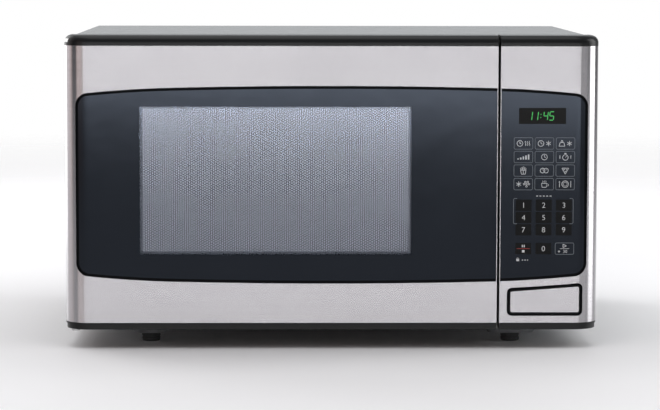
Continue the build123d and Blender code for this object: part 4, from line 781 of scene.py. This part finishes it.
def islands(node):
    """Lowest and highest corners of each separate solid of a CAD node, in a fixed order."""
    bm = bmesh.new()
    bm.from_mesh(frame["nodes"][node].data)
    bmesh.ops.remove_doubles(bm, verts=bm.verts, dist=MERGE)
    left, found = set(bm.verts), []
    while left:
        queue, group = [left.pop()], []
        while queue:
            vert = queue.pop()
            group.append(vert.co.copy())
            near = {edge.other_vert(vert) for edge in vert.link_edges} & left
            left -= near
            queue.extend(near)
        corners = zip(*group)
        found.append(tuple(zip(*((min(values), max(values)) for values in corners))))
    bm.free()
    return [(Vector(low), Vector(high)) for low, high in sorted(found)]


# ---- pictograms: a kind, its points and its sizes, in millimetres round a middle

LINE = 0.5


def moved(marks, dx):
    """Marks moved to one side."""
    return [(kind, [(x + dx, z) for x, z in points], *sizes) for kind, points, *sizes in marks]


def closed(*points):
    """An outline through points, back to the first."""
    return "path", [*points, points[0]], LINE


def draw(bm, middle, marks):
    """Draws marks round a middle."""
    for kind, points, size, *rest in marks:
        at = [(middle[0] + dx * MM, middle[1] + dz * MM) for dx, dz in points]
        if kind == "path":
            flat_path(bm, at, size * MM)
        elif kind == "pad":
            (x0, z0), (x1, z1) = at
            flat_pad(bm, x0, x1, z0, z1, size * MM)
        elif kind == "disc":
            for x, z in at:
                flat_disc(bm, x, z, size * MM, *rest)
        else:
            width, *sides = rest
            for x, z in at:
                hollow(bm, flat_disc(bm, x, z, size * MM, *sides), width * MM)


CLOCK = [("ring", [(0, 0)], 3.0, LINE), ("path", [(0, 1.9), (0, 0), (1.4, -0.5)], LINE)]
WAVES = [("path", [(x, -2.2), (x + 0.45, -1.1), (x, 0), (x - 0.45, 1.1), (x, 2.2)], LINE)
         for x in (-1.9, 0, 1.9)]
FLAKE = [("path", [(-2.5 * cos(a), -2.5 * sin(a)), (2.5 * cos(a), 2.5 * sin(a))], LINE)
         for a in (pi / 6, pi / 2, pi * 5 / 6)]

# the outlined keys, row by row
KEY_MARKS = (
    moved(CLOCK, -3.4) + moved(WAVES, 3.8),
    moved(CLOCK, -3.4) + moved(FLAKE, 3.8),
    [closed((-6.2, -2.6), (-5.2, 0.9), (-1.6, 0.9), (-0.6, -2.6)),
     ("ring", [(-3.4, 2.0)], 1.1, LINE, 14)] + moved(FLAKE, 3.8),
    [("path", [(i * 2.5 - 5.0, -2.4), (i * 2.5 - 5.0, i * 0.95 - 1.4)], 1.3) for i in range(5)],
    CLOCK,
    [("ring", [(0, -0.4)], 2.9, LINE), ("path", [(0, -0.4), (1.2, 1.0)], LINE),
     ("path", [(-1.0, 3.4), (1.0, 3.4)], 0.8), ("path", [(-5.2, -1.6), (-5.2, 1.6)], LINE),
     ("path", [(5.2, -1.6), (5.2, 1.6)], LINE)],
    [closed((-1.8, -3.4), (-2.6, 0.4), (2.6, 0.4), (1.8, -3.4)),
     ("path", [(0, -3.3), (0, 0.3)], LINE),
     ("ring", [(-1.7, 1.6), (0, 2.5), (1.7, 1.6)], 1.15, 0.4, 14)],
    [("ring", [(-1.6, 0), (1.6, 0)], 2.5, LINE),
     ("disc", [(-1.9, 0.7), (0.3, -0.8), (1.9, 0.8)], 0.35, 10)],
    [closed((-3.2, 2.3), (3.2, 2.3), (0, -3.3)),
     ("disc", [(-1.1, 1.0), (1.0, 0.7), (0.0, -1.0)], 0.5, 12)],
    moved(FLAKE, -4.2) + [
        ("ring", [(0.8, 0), (3.2, 0), (5.6, 0), (2.0, 2.0), (4.4, 2.0), (3.2, -2.1)],
         1.0, 0.4, 12)],
    [closed((-2.6, 0.8), (-2.0, -3.0), (2.0, -3.0), (2.6, 0.8)),
     ("ring", [(3.2, -0.8)], 1.2, 0.4, 14)]
    + [("path", [(x, 1.6), (x + 0.4, 2.4), (x, 3.3)], 0.4) for x in (-1.5, 0, 1.5)],
    [("ring", [(0, 0)], 3.4, LINE, 24), ("ring", [(0, 0)], 2.1, 0.35),
     ("path", [(-5.4, -3.0), (-5.4, 3.0)], LINE), ("path", [(5.4, -3.0), (5.4, 3.0)], LINE),
     ("path", [(-5.9, 2.0), (-4.9, 2.0)], 1.6)],
)
START_MARK = [closed((-1.4, 4.2), (1.8, 2.6), (-1.4, 1.0)), ("path", [(-4.6, 0), (4.6, 0)], 0.3),
              ("path", [(-6.3, -2.7), (-4.1, -2.7)], LINE),
              ("path", [(-5.2, -3.8), (-5.2, -1.6)], LINE)]
STOP_MARK = [("path", [(-0.9, 1.3), (-0.9, 3.7)], 0.8), ("path", [(0.9, 1.3), (0.9, 3.7)], 0.8),
             ("pad", [(-1.2, -3.7), (1.2, -1.4)], 0)]
LOCK_MARK = [("pad", [(-6.6, -12.0), (-3.8, -9.9)], 0.3), ("ring", [(-5.2, -9.9)], 1.1, 0.35, 14),
             ("disc", [(-0.6, -11.0), (1.8, -11.0), (4.2, -11.0)], 0.55, 12)]
GROUP_MARK = [("path", [(x - 0.9, 8.8), (x + 0.9, 8.8)], 0.7) for x in (-6.4, -3.2, 0, 3.2, 6.4)]
STOP_LINE = [("path", [(-6.2, 0), (6.2, 0)], 0.5)]


# ---- operators

class OvenOperator(bpy.types.Operator):
    """Shared settings of the oven's operators."""
    bl_options = {"REGISTER", "UNDO"}


class OVEN_OT_finishes(OvenOperator):
    """Give every CAD node the finish of its material slot"""
    bl_idname = "oven.finishes"
    bl_label = "Finishes"

    def execute(self, context):
        for material in list(bpy.data.materials):
            bpy.data.materials.remove(material)
        made = finishes()
        slots = {part["node"]: part["material_slot"] for part in frame["record"]["subparts"]}
        for name, node in frame["nodes"].items():
            node.data.materials.clear()
            node.data.materials.append(made[slots[name]])
        # the button's cap gets a black edge line, partly painted shade of the gap round it
        cap = frame["nodes"]["button_cap"].data.materials
        cap[0] = brushed_steel("button_cap", tuple(colours().steel), cap_edge)
        return {"FINISHED"}


class OVEN_OT_screen(OvenOperator):
    """Perforated window screen and the pale film behind it, which paints light into the holes"""
    bl_idname = "oven.screen"
    bl_label = "Window screen"

    SHEET = 0.3 * MM
    TUCK = 0.02 * MM
    FILM = 0.1 * MM
    FILM_EDGE = 0.2 * MM

    def execute(self, context):
        s = sizes()
        low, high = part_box("window_screen")
        pitch, column = s.hole_pitch, s.hole_pitch * cos(radians(30))
        left = low.x + s.window_border + s.blank_border
        bottom = low.z + s.window_border + s.blank_border
        columns = int((high.x - left) / column) // 2 * 2
        rows = int((high.z - bottom) / pitch)
        bm = bmesh.new()
        self.cell(bm, s.hole_radius, pitch, high.y - low.y)
        self.repeat(bm, (0, pitch, 0), rows)
        add_copy(bm, whole(bm), (column, pitch / 2, 0))
        self.repeat(bm, (2 * column, 0, 0), columns // 2)
        bmesh.ops.remove_doubles(bm, verts=bm.verts, dist=MERGE)
        bmesh.ops.translate(bm, verts=bm.verts, vec=(left + column / 2, bottom + pitch / 2, 0))
        right, top = left + columns * column + 2 * self.SHEET, bottom + rows * pitch
        self.blank_sheet(bm, (
            (low.x, left + 0.75 * column, low.z, high.z),
            (right - column, high.x, low.z, high.z),
            (left, right, low.z, bottom + 0.62 * pitch),
            (left, right, top - 0.1 * pitch, high.z)))
        face_front(bm, low.y)
        add_piece("perforated_screen", bm, "perforated_screen", "door", "perforated_screen",
                  "window_screen")
        self.backing(low, high, s)
        return {"FINISHED"}

    def cell(self, bm, radius, pitch, depth):
        """One hexagonal cell of the sheet with a hexagonal hole through it."""
        face = flat_disc(bm, 0, 0, pitch / 2 / cos(radians(30)), 6)
        if face.normal.z < 0:
            face.normal_flip()
        inset(bm, face, pitch / 2 - radius)
        walls = bmesh.ops.extrude_face_region(bm, geom=[face])["geom"]
        move(bm, walls, (0, 0, -depth))
        ends = [g for g in walls if isinstance(g, bmesh.types.BMFace)] + [face]
        bmesh.ops.delete(bm, geom=[f for f in ends if f.is_valid], context="FACES_ONLY")

    def repeat(self, bm, step, count):
        """Repeats all there is in equal steps."""
        first = whole(bm)
        for i in range(1, count):
            add_copy(bm, first, Vector(step) * i)

    def blank_sheet(self, bm, bands):
        """Bands of sheet without holes, tucked just behind the outer cells."""
        for band in bands:
            face = flat_pad(bm, *band)
            bmesh.ops.translate(bm, verts=face.verts, vec=(0, 0, -self.TUCK))
            bmesh.ops.solidify(bm, geom=[face], thickness=self.SHEET)

    def backing(self, low, high, s):
        """Pale film that closes the holes from behind, so that they read as bright dots: painted
        light in place of the lit cavity seen through them.
        """
        edge = s.window_border / 2 + self.FILM_EDGE
        bm = bmesh.new()
        flat_pad(bm, low.x + edge, high.x - edge, low.z + edge, high.z - edge, 1.0 * MM)
        raise_marks(bm, self.FILM, high.y + s.backing_gap + self.FILM)
        add_piece("screen_backing", bm, "pale_film", "door", "clear_film")


class OVEN_OT_keys(OvenOperator):
    """Printed key outlines, marks, number keys and numbers"""
    bl_idname = "oven.keys"
    bl_label = "Keys"

    def execute(self, context):
        self.s = sizes()
        low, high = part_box("display_window")
        self.x = (low.x + high.x) / 2
        self.z = (low.z + high.z) / 2
        self.face = low.y
        self.start = (self.key(1, 0)[0], self.pad(1, 3)[1])
        self.outlines()
        self.pads()
        self.marks()
        self.numbers()
        return {"FINISHED"}

    def key(self, column, row):
        """Middle of an outlined key; the middle column is 0 and the first row is 0."""
        s = self.s
        return (self.x + s.keys_shift + column * s.key_pitch_x,
                self.z - s.key_drop - row * s.key_pitch_z)

    def pad(self, column, row):
        """Middle of a number key; row 3 is the lowest."""
        s = self.s
        drop = s.zero_drop if row == 3 else s.pad_drop + row * s.pad_pitch_z
        return (self.x + s.pads_shift + column * s.pad_pitch_x, self.z - drop)

    def finish_marks(self, name, bm, finish, height):
        """Turns flat marks into a piece on the face of the keypad."""
        raise_marks(bm, height, self.face)
        add_piece(name, bm, finish, "cabinet", "keypad")

    def outlines(self):
        """Frames of the outlined keys, and brackets round the first two rows of numbers."""
        s = self.s
        bm = bmesh.new()
        half_w, half_h = s.key_width / 2, s.key_height / 2
        places = [self.key(column, row) for row in range(4) for column in (-1, 0, 1)]
        for x, z in places + [self.start]:
            face = flat_pad(bm, x - half_w, x + half_w, z - half_h, z + half_h, 1.5 * MM)
            hollow(bm, face, s.print_line)
        left = self.key(-1, 0)[0] - half_w
        right = self.pad(1, 0)[0] + s.pad_width / 2 + 1.3 * MM
        top = self.pad(0, 0)[1] + s.pad_height / 2 + 1.0 * MM
        bottom = self.pad(0, 1)[1] - s.pad_height / 2 - 0.6 * MM
        bend = 1.0 * MM
        for x, inward in ((left, 1), (right, -1)):
            near, far = x + inward * bend, x + inward * 3.4 * MM
            flat_path(bm, [(far, top), (near, top), (x, top - bend), (x, bottom + bend),
                           (near, bottom), (far, bottom)], s.print_line)
        self.finish_marks("key_outlines", bm, "key_print", s.print_height)

    def pads(self):
        """Matt number keys."""
        bm = bmesh.new()
        half_w, half_h = self.s.pad_width / 2, self.s.pad_height / 2
        places = [self.pad(column, row) for row in range(3) for column in (-1, 0, 1)]
        for x, z in places + [self.pad(-1, 3), self.pad(0, 3)]:
            flat_pad(bm, x - half_w, x + half_w, z - half_h, z + half_h, 0.5 * MM)
        self.finish_marks("number_keys", bm, "number_key", 0.03 * MM)

    def marks(self):
        """Generic pictograms in place of words."""
        bm = bmesh.new()
        for i, marks in enumerate(KEY_MARKS):
            draw(bm, self.key(i % 3 - 1, i // 3), marks)
        draw(bm, self.pad(-1, 3), STOP_MARK + LOCK_MARK)
        draw(bm, self.start, START_MARK)
        draw(bm, self.pad(0, 0), GROUP_MARK)
        self.finish_marks("key_marks", bm, "mark_print", self.s.print_height)
        bm = bmesh.new()
        draw(bm, self.pad(-1, 3), STOP_LINE)
        self.finish_marks("stop_line", bm, "stop_print", self.s.print_height)

    def numbers(self):
        """Digits on the number keys, and a number on the start key."""
        s = self.s
        bm = bmesh.new()
        for digit in range(10):
            place = ((digit - 1) % 3 - 1, (digit - 1) // 3) if digit else (0, 3)
            add_number(bm, str(digit), *self.pad(*place), s.digit_height, s.print_height)
        x, z = self.start
        add_number(bm, "30", x + 0.6 * MM, z - 2.7 * MM, 2.9 * MM, s.print_height)
        bmesh.ops.remove_doubles(bm, verts=bm.verts, dist=1e-7)
        face_front(bm, self.face)
        add_piece("key_numbers", bm, "mark_print", "cabinet", "keypad")


class OVEN_OT_display(OvenOperator):
    """Black mask of the display and the lit digits of the clock"""
    bl_idname = "oven.display"
    bl_label = "Display"

    # bars of a digit: top, upper left, upper right, middle, lower left, lower right, bottom
    BARS = {"1": "0010010", "4": "0111010", "5": "1101011"}
    TIME = (("1", -2.05), ("1", -1.0), ("4", 0.75), ("5", 1.8))
    COLON = -0.13
    SLANT = Matrix(((1, 0.12, 0, 0), (0, 1, 0, 0), (0, 0, 1, 0), (0, 0, 0, 1)))
    THICK = 0.03 * MM
    CLEAR = 0.035 * MM

    def execute(self, context):
        s = sizes()
        low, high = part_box("display_window")
        x, z = (low.x + high.x) / 2, (low.z + high.z) / 2 - s.mask_drop
        bm = bmesh.new()
        half = s.mask_height / 2
        flat_pad(bm, low.x, high.x, z - half, z + half, 0.2 * MM)
        raise_marks(bm, self.THICK, low.y)
        add_piece("display_mask", bm, "display_lens", "cabinet", "display_lens")
        bm = bmesh.new()
        for digit, place in self.TIME:
            self.digit(bm, digit, place * s.clock_pitch, s)
        for side in (-1, 1):
            flat_disc(bm, self.COLON * s.clock_pitch, side * s.clock_height * 0.18,
                      s.clock_bar * 0.6, 12)
        middle = Matrix.Translation((x - s.clock_shift, z, 0))
        bmesh.ops.transform(bm, matrix=middle @ self.SLANT, verts=bm.verts)
        raise_marks(bm, self.THICK, low.y - self.CLEAR)
        add_piece("clock_digits", bm, "clock_light", "cabinet", "display_body")
        return {"FINISHED"}

    def digit(self, bm, digit, x, s):
        """One digit from bars with pointed ends."""
        half_w, half_h, gap = s.clock_width / 2, s.clock_height / 2, 0.12 * MM
        level = {0: half_h, 3: 0.0, 6: -half_h}
        for i, shown in enumerate(self.BARS[digit]):
            if shown == "0":
                continue
            if i in level:
                ends = (x - half_w + gap, level[i]), (x + half_w - gap, level[i])
            else:
                side = half_w if i in (2, 5) else -half_w
                z = 0.0 if i in (1, 2) else -half_h
                ends = (x + side, z + gap), (x + side, z + half_h - gap)
            cut_corners(bm, flat_bar(bm, *ends, s.clock_bar), s.clock_bar * 0.45, 1)


class OVEN_OT_springs(OvenOperator):
    """Coil springs of the open button and of the door latch"""
    bl_idname = "oven.springs"
    bl_label = "Springs"

    BUTTON_TRAVEL = 5.5 * MM
    LATCH_TRAVEL = 4.0 * MM

    def execute(self, context):
        s = sizes()
        low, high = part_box("button_spring")
        middle, height = (low + high) / 2, high.y - low.y
        bm = coil((high.x - low.x - s.button_wire) / 2, s.button_wire, height, 7)
        place = Matrix.Translation((middle.x, high.y, middle.z))
        bmesh.ops.transform(bm, matrix=place @ UPRIGHT, verts=bm.verts)
        spring = add_piece("button_coil", bm, "spring_steel", "cabinet", "spring_steel",
                           "button_spring")
        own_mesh(spring)
        low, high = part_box("latch_spring")
        middle, height = (low + high) / 2, high.z - low.z
        bm = coil((high.x - low.x - s.latch_wire) / 2, s.latch_wire, height, 6)
        bmesh.ops.translate(bm, verts=bm.verts, vec=(middle.x, middle.y, low.z))
        spring = add_piece("latch_coil", bm, "spring_steel", "door", "spring_steel",
                           "latch_spring")
        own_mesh(spring)
        return {"FINISHED"}


class OVEN_OT_screws(OvenOperator):
    """Pan head and countersunk screws with cross recesses"""
    bl_idname = "oven.screws"
    bl_label = "Screws"

    SHANK = 1.75
    THREAD_PITCH, THREAD_DEPTH = 0.8, 0.3
    RECESS_WIDTH, RECESS_HEIGHT = 0.9 * MM, 2.2 * MM
    TURN = 37

    def execute(self, context):
        bm = bmesh.new()
        for i, (low, high) in enumerate(islands("screws")):
            middle = (low + high) / 2
            rear = middle.y > 0
            mesh = self.screw((high.x - low.x) / 2, (high.y - low.y) / MM, rear)
            at = Vector((middle.x, high.y if rear else low.y, middle.z))
            outward = Matrix.Rotation(radians(-90 if rear else 90), 4, "X")
            spun = Matrix.Rotation(radians(self.TURN * i), 4, "Z")
            mesh.transform(Matrix.Translation(at) @ outward @ spun)
            take_in(bm, mesh)
        add_piece("screw_set", bm, "hinge_steel", "cabinet", "hinge_steel", "screws")
        return {"FINISHED"}

    def screw(self, radius, full, pan):
        """A screw that hangs from its head, with a cross cut into it. Its full length is in
        millimetres."""
        r = radius / MM
        if pan:
            head = 2.4
            profile = [(0, 0), (r * 0.55, -0.1), (r * 0.86, -0.6), (r * 0.99, -1.5), (r, -head)]
        else:
            head = 1.4
            profile = [(0, 0), (r * 0.96, 0), (r, -0.1), (r, -0.6)]
        profile.append((self.SHANK, -head))
        z = -head
        while z - self.THREAD_PITCH > self.THREAD_PITCH - full:
            root = self.SHANK - self.THREAD_DEPTH
            profile += [(root, z - self.THREAD_PITCH / 2), (self.SHANK, z - self.THREAD_PITCH)]
            z -= self.THREAD_PITCH
        profile += [(self.SHANK * 0.5, -full), (0, -full)]
        cutter = bmesh.new()
        arm = Matrix.Diagonal((radius * 1.05, self.RECESS_WIDTH, self.RECESS_HEIGHT, 1))
        for angle in (0, 90):
            turn = Matrix.Rotation(radians(angle), 4, "Z")
            bmesh.ops.create_cube(cutter, size=1.0, matrix=turn @ arm)
        recess = add_object("recess", make_mesh("recess", cutter))
        blank = add_object("screw", make_mesh("screw", turned(profile, (0, 0, 0), 32)))
        cut = blank.modifiers.new("recess", "BOOLEAN")
        cut.operation, cut.object, cut.solver, cut.use_self = "DIFFERENCE", recess, "EXACT", True
        mesh = evaluated(blank)
        for used in (blank, recess):
            bpy.data.objects.remove(used)
        return mesh


class OVEN_OT_feet(OvenOperator):
    """Turned rubber feet with a groove"""
    bl_idname = "oven.feet"
    bl_label = "Feet"

    PROFILE = ((0, 0.6), (6.4, 0.6), (7.2, 0), (8.3, 0), (8.85, 0.5), (9.05, 3.6), (8.6, 4.0),
               (8.6, 4.7), (9.15, 5.1), (9.4, 8.2), (9.0, 8.7), (3, 8.7), (3, 9.5), (4, 9.6),
               (4, 10.9), (3, 11.0), (2.6, 11.5), (0, 11.5))

    def execute(self, context):
        bm = bmesh.new()
        for low, high in islands("feet"):
            at = ((low.x + high.x) / 2, (low.y + high.y) / 2, low.z)
            take_in(bm, make_mesh("foot", turned(self.PROFILE, at, 40)))
        add_piece("rubber_feet", bm, "rubber", "cabinet", "rubber", "feet")
        return {"FINISHED"}


class OVEN_OT_tray(OvenOperator):
    """Pressed glass tray with a rolled rim and raised rings"""
    bl_idname = "oven.tray"
    bl_label = "Glass tray"

    RINGS = (46, 92, 134)

    def execute(self, context):
        low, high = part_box("glass_tray")
        top, radius = (high.z - low.z) / MM, (high.x - low.x) / 2 / MM - 0.05
        under, dish, rim = top - 11.0, top - 6.0, top - 0.05
        profile = [(0, dish)]
        for ring in self.RINGS:
            profile += [(ring - 2.4, dish), (ring - 1.0, dish + 0.55), (ring + 1.0, dish + 0.55),
                        (ring + 2.4, dish)]
        profile += [(radius - inward, z) for inward, z in (
            (11.0, dish), (8.4, dish + 0.9), (5.0, rim - 1.4), (3.4, rim - 0.3), (2.0, rim),
            (0.6, rim - 0.5), (0.0, rim - 1.6), (1.2, rim - 2.8), (7.2, under + 0.9),
            (9.0, under))]
        profile += [(22.0, under), (22.0, 0.4), (21.6, 0), (18.0, 0), (17.6, 0.4), (17.6, under),
                    (0, under)]
        bm = turned(profile, ((low.x + high.x) / 2, (low.y + high.y) / 2, low.z), 128)
        add_piece("pressed_tray", bm, "tray_glass", "turntable", "tray_glass", "glass_tray")
        return {"FINISHED"}


class OVEN_OT_stage(OvenOperator):
    """Floor, soft lights and camera"""
    bl_idname = "oven.stage"
    bl_label = "Stage"

    # brightness of the surroundings at angles from the front, left to right
    AROUND = (
        (-180, (0.9, 0.93, 0.95)), (-150, (1.0, 1.0, 1.0)), (-138, (1.1, 1.08, 1.08)),
        (-112, (1.3, 1.2, 1.19)), (-100, (1.2, 1.04, 1.02)), (-93, (1.0, 0.84, 0.79)),
        (-87, (0.5, 0.38, 0.34)), (-80, (0.0, 0.0, 0.0)), (-63, (0.0, 0.0, 0.0)),
        (-59, (0.56, 0.38, 0.32)), (-38, (0.60, 0.42, 0.36)), (-26, (0.42, 0.38, 0.38)),
        (-12, (0.36, 0.36, 0.37)), (12, (0.3, 0.3, 0.31)), (28, (0.18, 0.18, 0.18)),
        (56, (0.12, 0.12, 0.12)), (68, (0.05, 0.05, 0.05)), (84, (0.05, 0.05, 0.05)),
        (118, (0.2, 0.2, 0.2)), (134, (0.1, 0.1, 0.1)), (150, (0.4, 0.4, 0.4)),
        (160, (0.88, 0.9, 0.92)), (180, (0.9, 0.93, 0.95)))
    ABOVE = (0.17, 0.17, 0.175)
    GLOW = 3.0

    # name, place, height it faces, size, brightness, tilt, whether it lights matt surfaces
    LIGHTS = (
        ("top_light", (-0.2, -0.1, 2.3), 0.1, (2.4, 1.6), 1.7, 0.0, True),
        ("front_strip", (0.1, -3.2, 0.18), 0.18, (4.0, 0.24), 7.5, -2.0, False),
        ("left_strip", (-2.55, -2.62, 0.2), 0.2, (1.7, 0.24), 2.6, 0.0, False),
        ("right_strip", (2.75, -2.35, 0.15), 0.15, (1.8, 0.24), 1.8, 0.0, False),
        ("left_light", (-1.20, 1.05, 0.55), 0.3, (0.8, 1.5), 2.6, 0.0, True),
        ("right_light", (1.60, 0.01, 0.55), 0.3, (0.80, 1.5), 4.6, 0.0, True))

    CAMERA_AT = (-0.0462, -2.697, 0.3746)
    CAMERA_TURNS = ((-1.016, "Z"), (90 - 5.40, "X"), (0.105, "Z"))
    SENSOR, LENS = 36.0, 143.73

    def execute(self, context):
        self.floor()
        self.world()
        for light in self.LIGHTS:
            self.softbox(*light)
        self.camera()
        context.scene.view_settings.view_transform = "Standard"
        return {"FINISHED"}

    def floor(self):
        """Pale floor whose far edge fades into the background."""
        tone = tuple(colours().floor)

        def varied(f):
            wear = f.noise(6, 4.0)
            return {"Base Color": f.shades(wear, tone, 0.985, 1.0), "Roughness": wear * 0.1 + 0.6}
        material = make_finish("floor", {"Specular IOR Level": 0.2}, varied)
        f, shader, output = open_finish(material)
        x, y = f.across("X"), f.across("Y")
        reach = (x * x + y * y).root()
        seen = f.node("ShaderNodeLightPath", {}, {}, "Is Camera Ray")
        glow = f.node("ShaderNodeEmission", {}, {"Color": (1.0, 1.0, 1.0), "Strength": 0.3})
        bright = f.node("ShaderNodeAddShader", {}, {0: shader, 1: glow})
        lifted = f.node("ShaderNodeMixShader", {}, {
            0: f.spread(reach, 0.4, 1.5) * seen, 1: shader, 2: bright})
        clear = f.node("ShaderNodeBsdfTransparent", {}, {})
        f.feed(output, f.node("ShaderNodeMixShader", {}, {
            0: f.spread(reach, 1.6, 2.9), 1: lifted, 2: clear}))
        bm = bmesh.new()
        flat_disc(bm, 0, 0, 3.0, 96)
        floor = add_object("floor", make_mesh("floor", bm))
        floor.data.materials.append(material)

    def world(self):
        """Soft surroundings: pale behind and at the left, dark at the sides and dim above."""
        world = bpy.data.worlds.new("studio")
        bpy.context.scene.world = world
        world.use_nodes = True
        tree = world.node_tree
        tree.nodes.clear()
        f = Finish(tree)
        output = tree.nodes.new("ShaderNodeOutputWorld")
        way = f.node("ShaderNodeTexCoord", {}, {}, "Generated")
        x, y, z = (f.node("ShaderNodeSeparateXYZ", {}, {"Vector": way}, axis) for axis in "XYZ")
        stops = [(0.5 + angle / 360, tuple(level / self.GLOW for level in levels))
                 for angle, levels in self.AROUND]
        turn = x.angle(0.0 - y) / tau + 0.5
        around = f.node("ShaderNodeValToRGB", {"stops": stops}, {0: turn})
        sky = f.blend(f.spread(z, 0.35, 0.8), around, self.ABOVE)
        seen = f.node("ShaderNodeLightPath", {}, {}, "Is Camera Ray")
        shown = f.blend(seen, sky, (1 / self.GLOW,) * 3)
        glow = f.node("ShaderNodeBackground", {}, {"Color": shown, "Strength": self.GLOW})
        f.feed(output.inputs["Surface"], glow)

    def softbox(self, name, at, facing, size, radiance, tilt, lights_matt):
        """A soft rectangular light of a given brightness."""
        light = bpy.data.lights.new(name, "AREA")
        light.shape = "RECTANGLE"
        light.size, light.size_y = size
        light.energy = radiance * pi * size[0] * size[1]
        lamp = add_object(name, light)
        lamp.location = at
        aim = (Vector(at) - Vector((0.0, 0.0, facing))).to_track_quat("Z", "Y").to_matrix()
        lamp.rotation_euler = (aim @ Matrix.Rotation(radians(tilt), 3, "Z")).to_euler()
        lamp.visible_camera = False
        lamp.visible_diffuse = lights_matt

    def camera(self):
        """Camera in front, a little above the oven."""
        data = bpy.data.cameras.new("camera")
        data.sensor_width = self.SENSOR
        data.lens = self.LENS
        camera = add_object("camera", data)
        place = Matrix.Translation(self.CAMERA_AT)
        for angle, axis in self.CAMERA_TURNS:
            place = place @ Matrix.Rotation(radians(angle), 4, axis)
        camera.matrix_world = place
        bpy.context.scene.camera = camera


STEPS = (OVEN_OT_finishes, OVEN_OT_screen, OVEN_OT_keys, OVEN_OT_display, OVEN_OT_springs,
         OVEN_OT_screws, OVEN_OT_feet, OVEN_OT_tray, OVEN_OT_stage)


class OVEN_PT_panel(bpy.types.Panel):
    """Steps, sizes and colours of the oven"""
    bl_idname = "OVEN_PT_panel"
    bl_label = "Microwave oven"
    bl_space_type = "VIEW_3D"
    bl_region_type = "UI"
    bl_category = "Oven"

    def draw(self, context):
        column = self.layout.column(align=True)
        for step in STEPS:
            column.operator(step.bl_idname)
        for group in (context.scene.oven_sizes, context.scene.oven_colours):
            box = self.layout.box()
            for name in group.__annotations__:
                box.prop(group, name)


CLASSES = (OvenSizes, OvenColours) + STEPS + (OVEN_PT_panel,)


def register():
    """Registers the classes and hangs the two groups on the scene."""
    for item in CLASSES:
        bpy.utils.register_class(item)
    bpy.types.Scene.oven_sizes = bpy.props.PointerProperty(type=OvenSizes)
    bpy.types.Scene.oven_colours = bpy.props.PointerProperty(type=OvenColours)


def unregister():
    """Takes the groups off the scene and the classes out."""
    del bpy.types.Scene.oven_sizes
    del bpy.types.Scene.oven_colours
    for item in reversed(CLASSES):
        bpy.utils.unregister_class(item)


def main():
    """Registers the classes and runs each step."""
    register()
    bpy.ops.oven.finishes()
    bpy.ops.oven.screen()
    bpy.ops.oven.keys()
    bpy.ops.oven.display()
    bpy.ops.oven.springs()
    bpy.ops.oven.screws()
    bpy.ops.oven.feet()
    bpy.ops.oven.tray()
    bpy.ops.oven.stage()


if __name__ == "__main__":
    main()
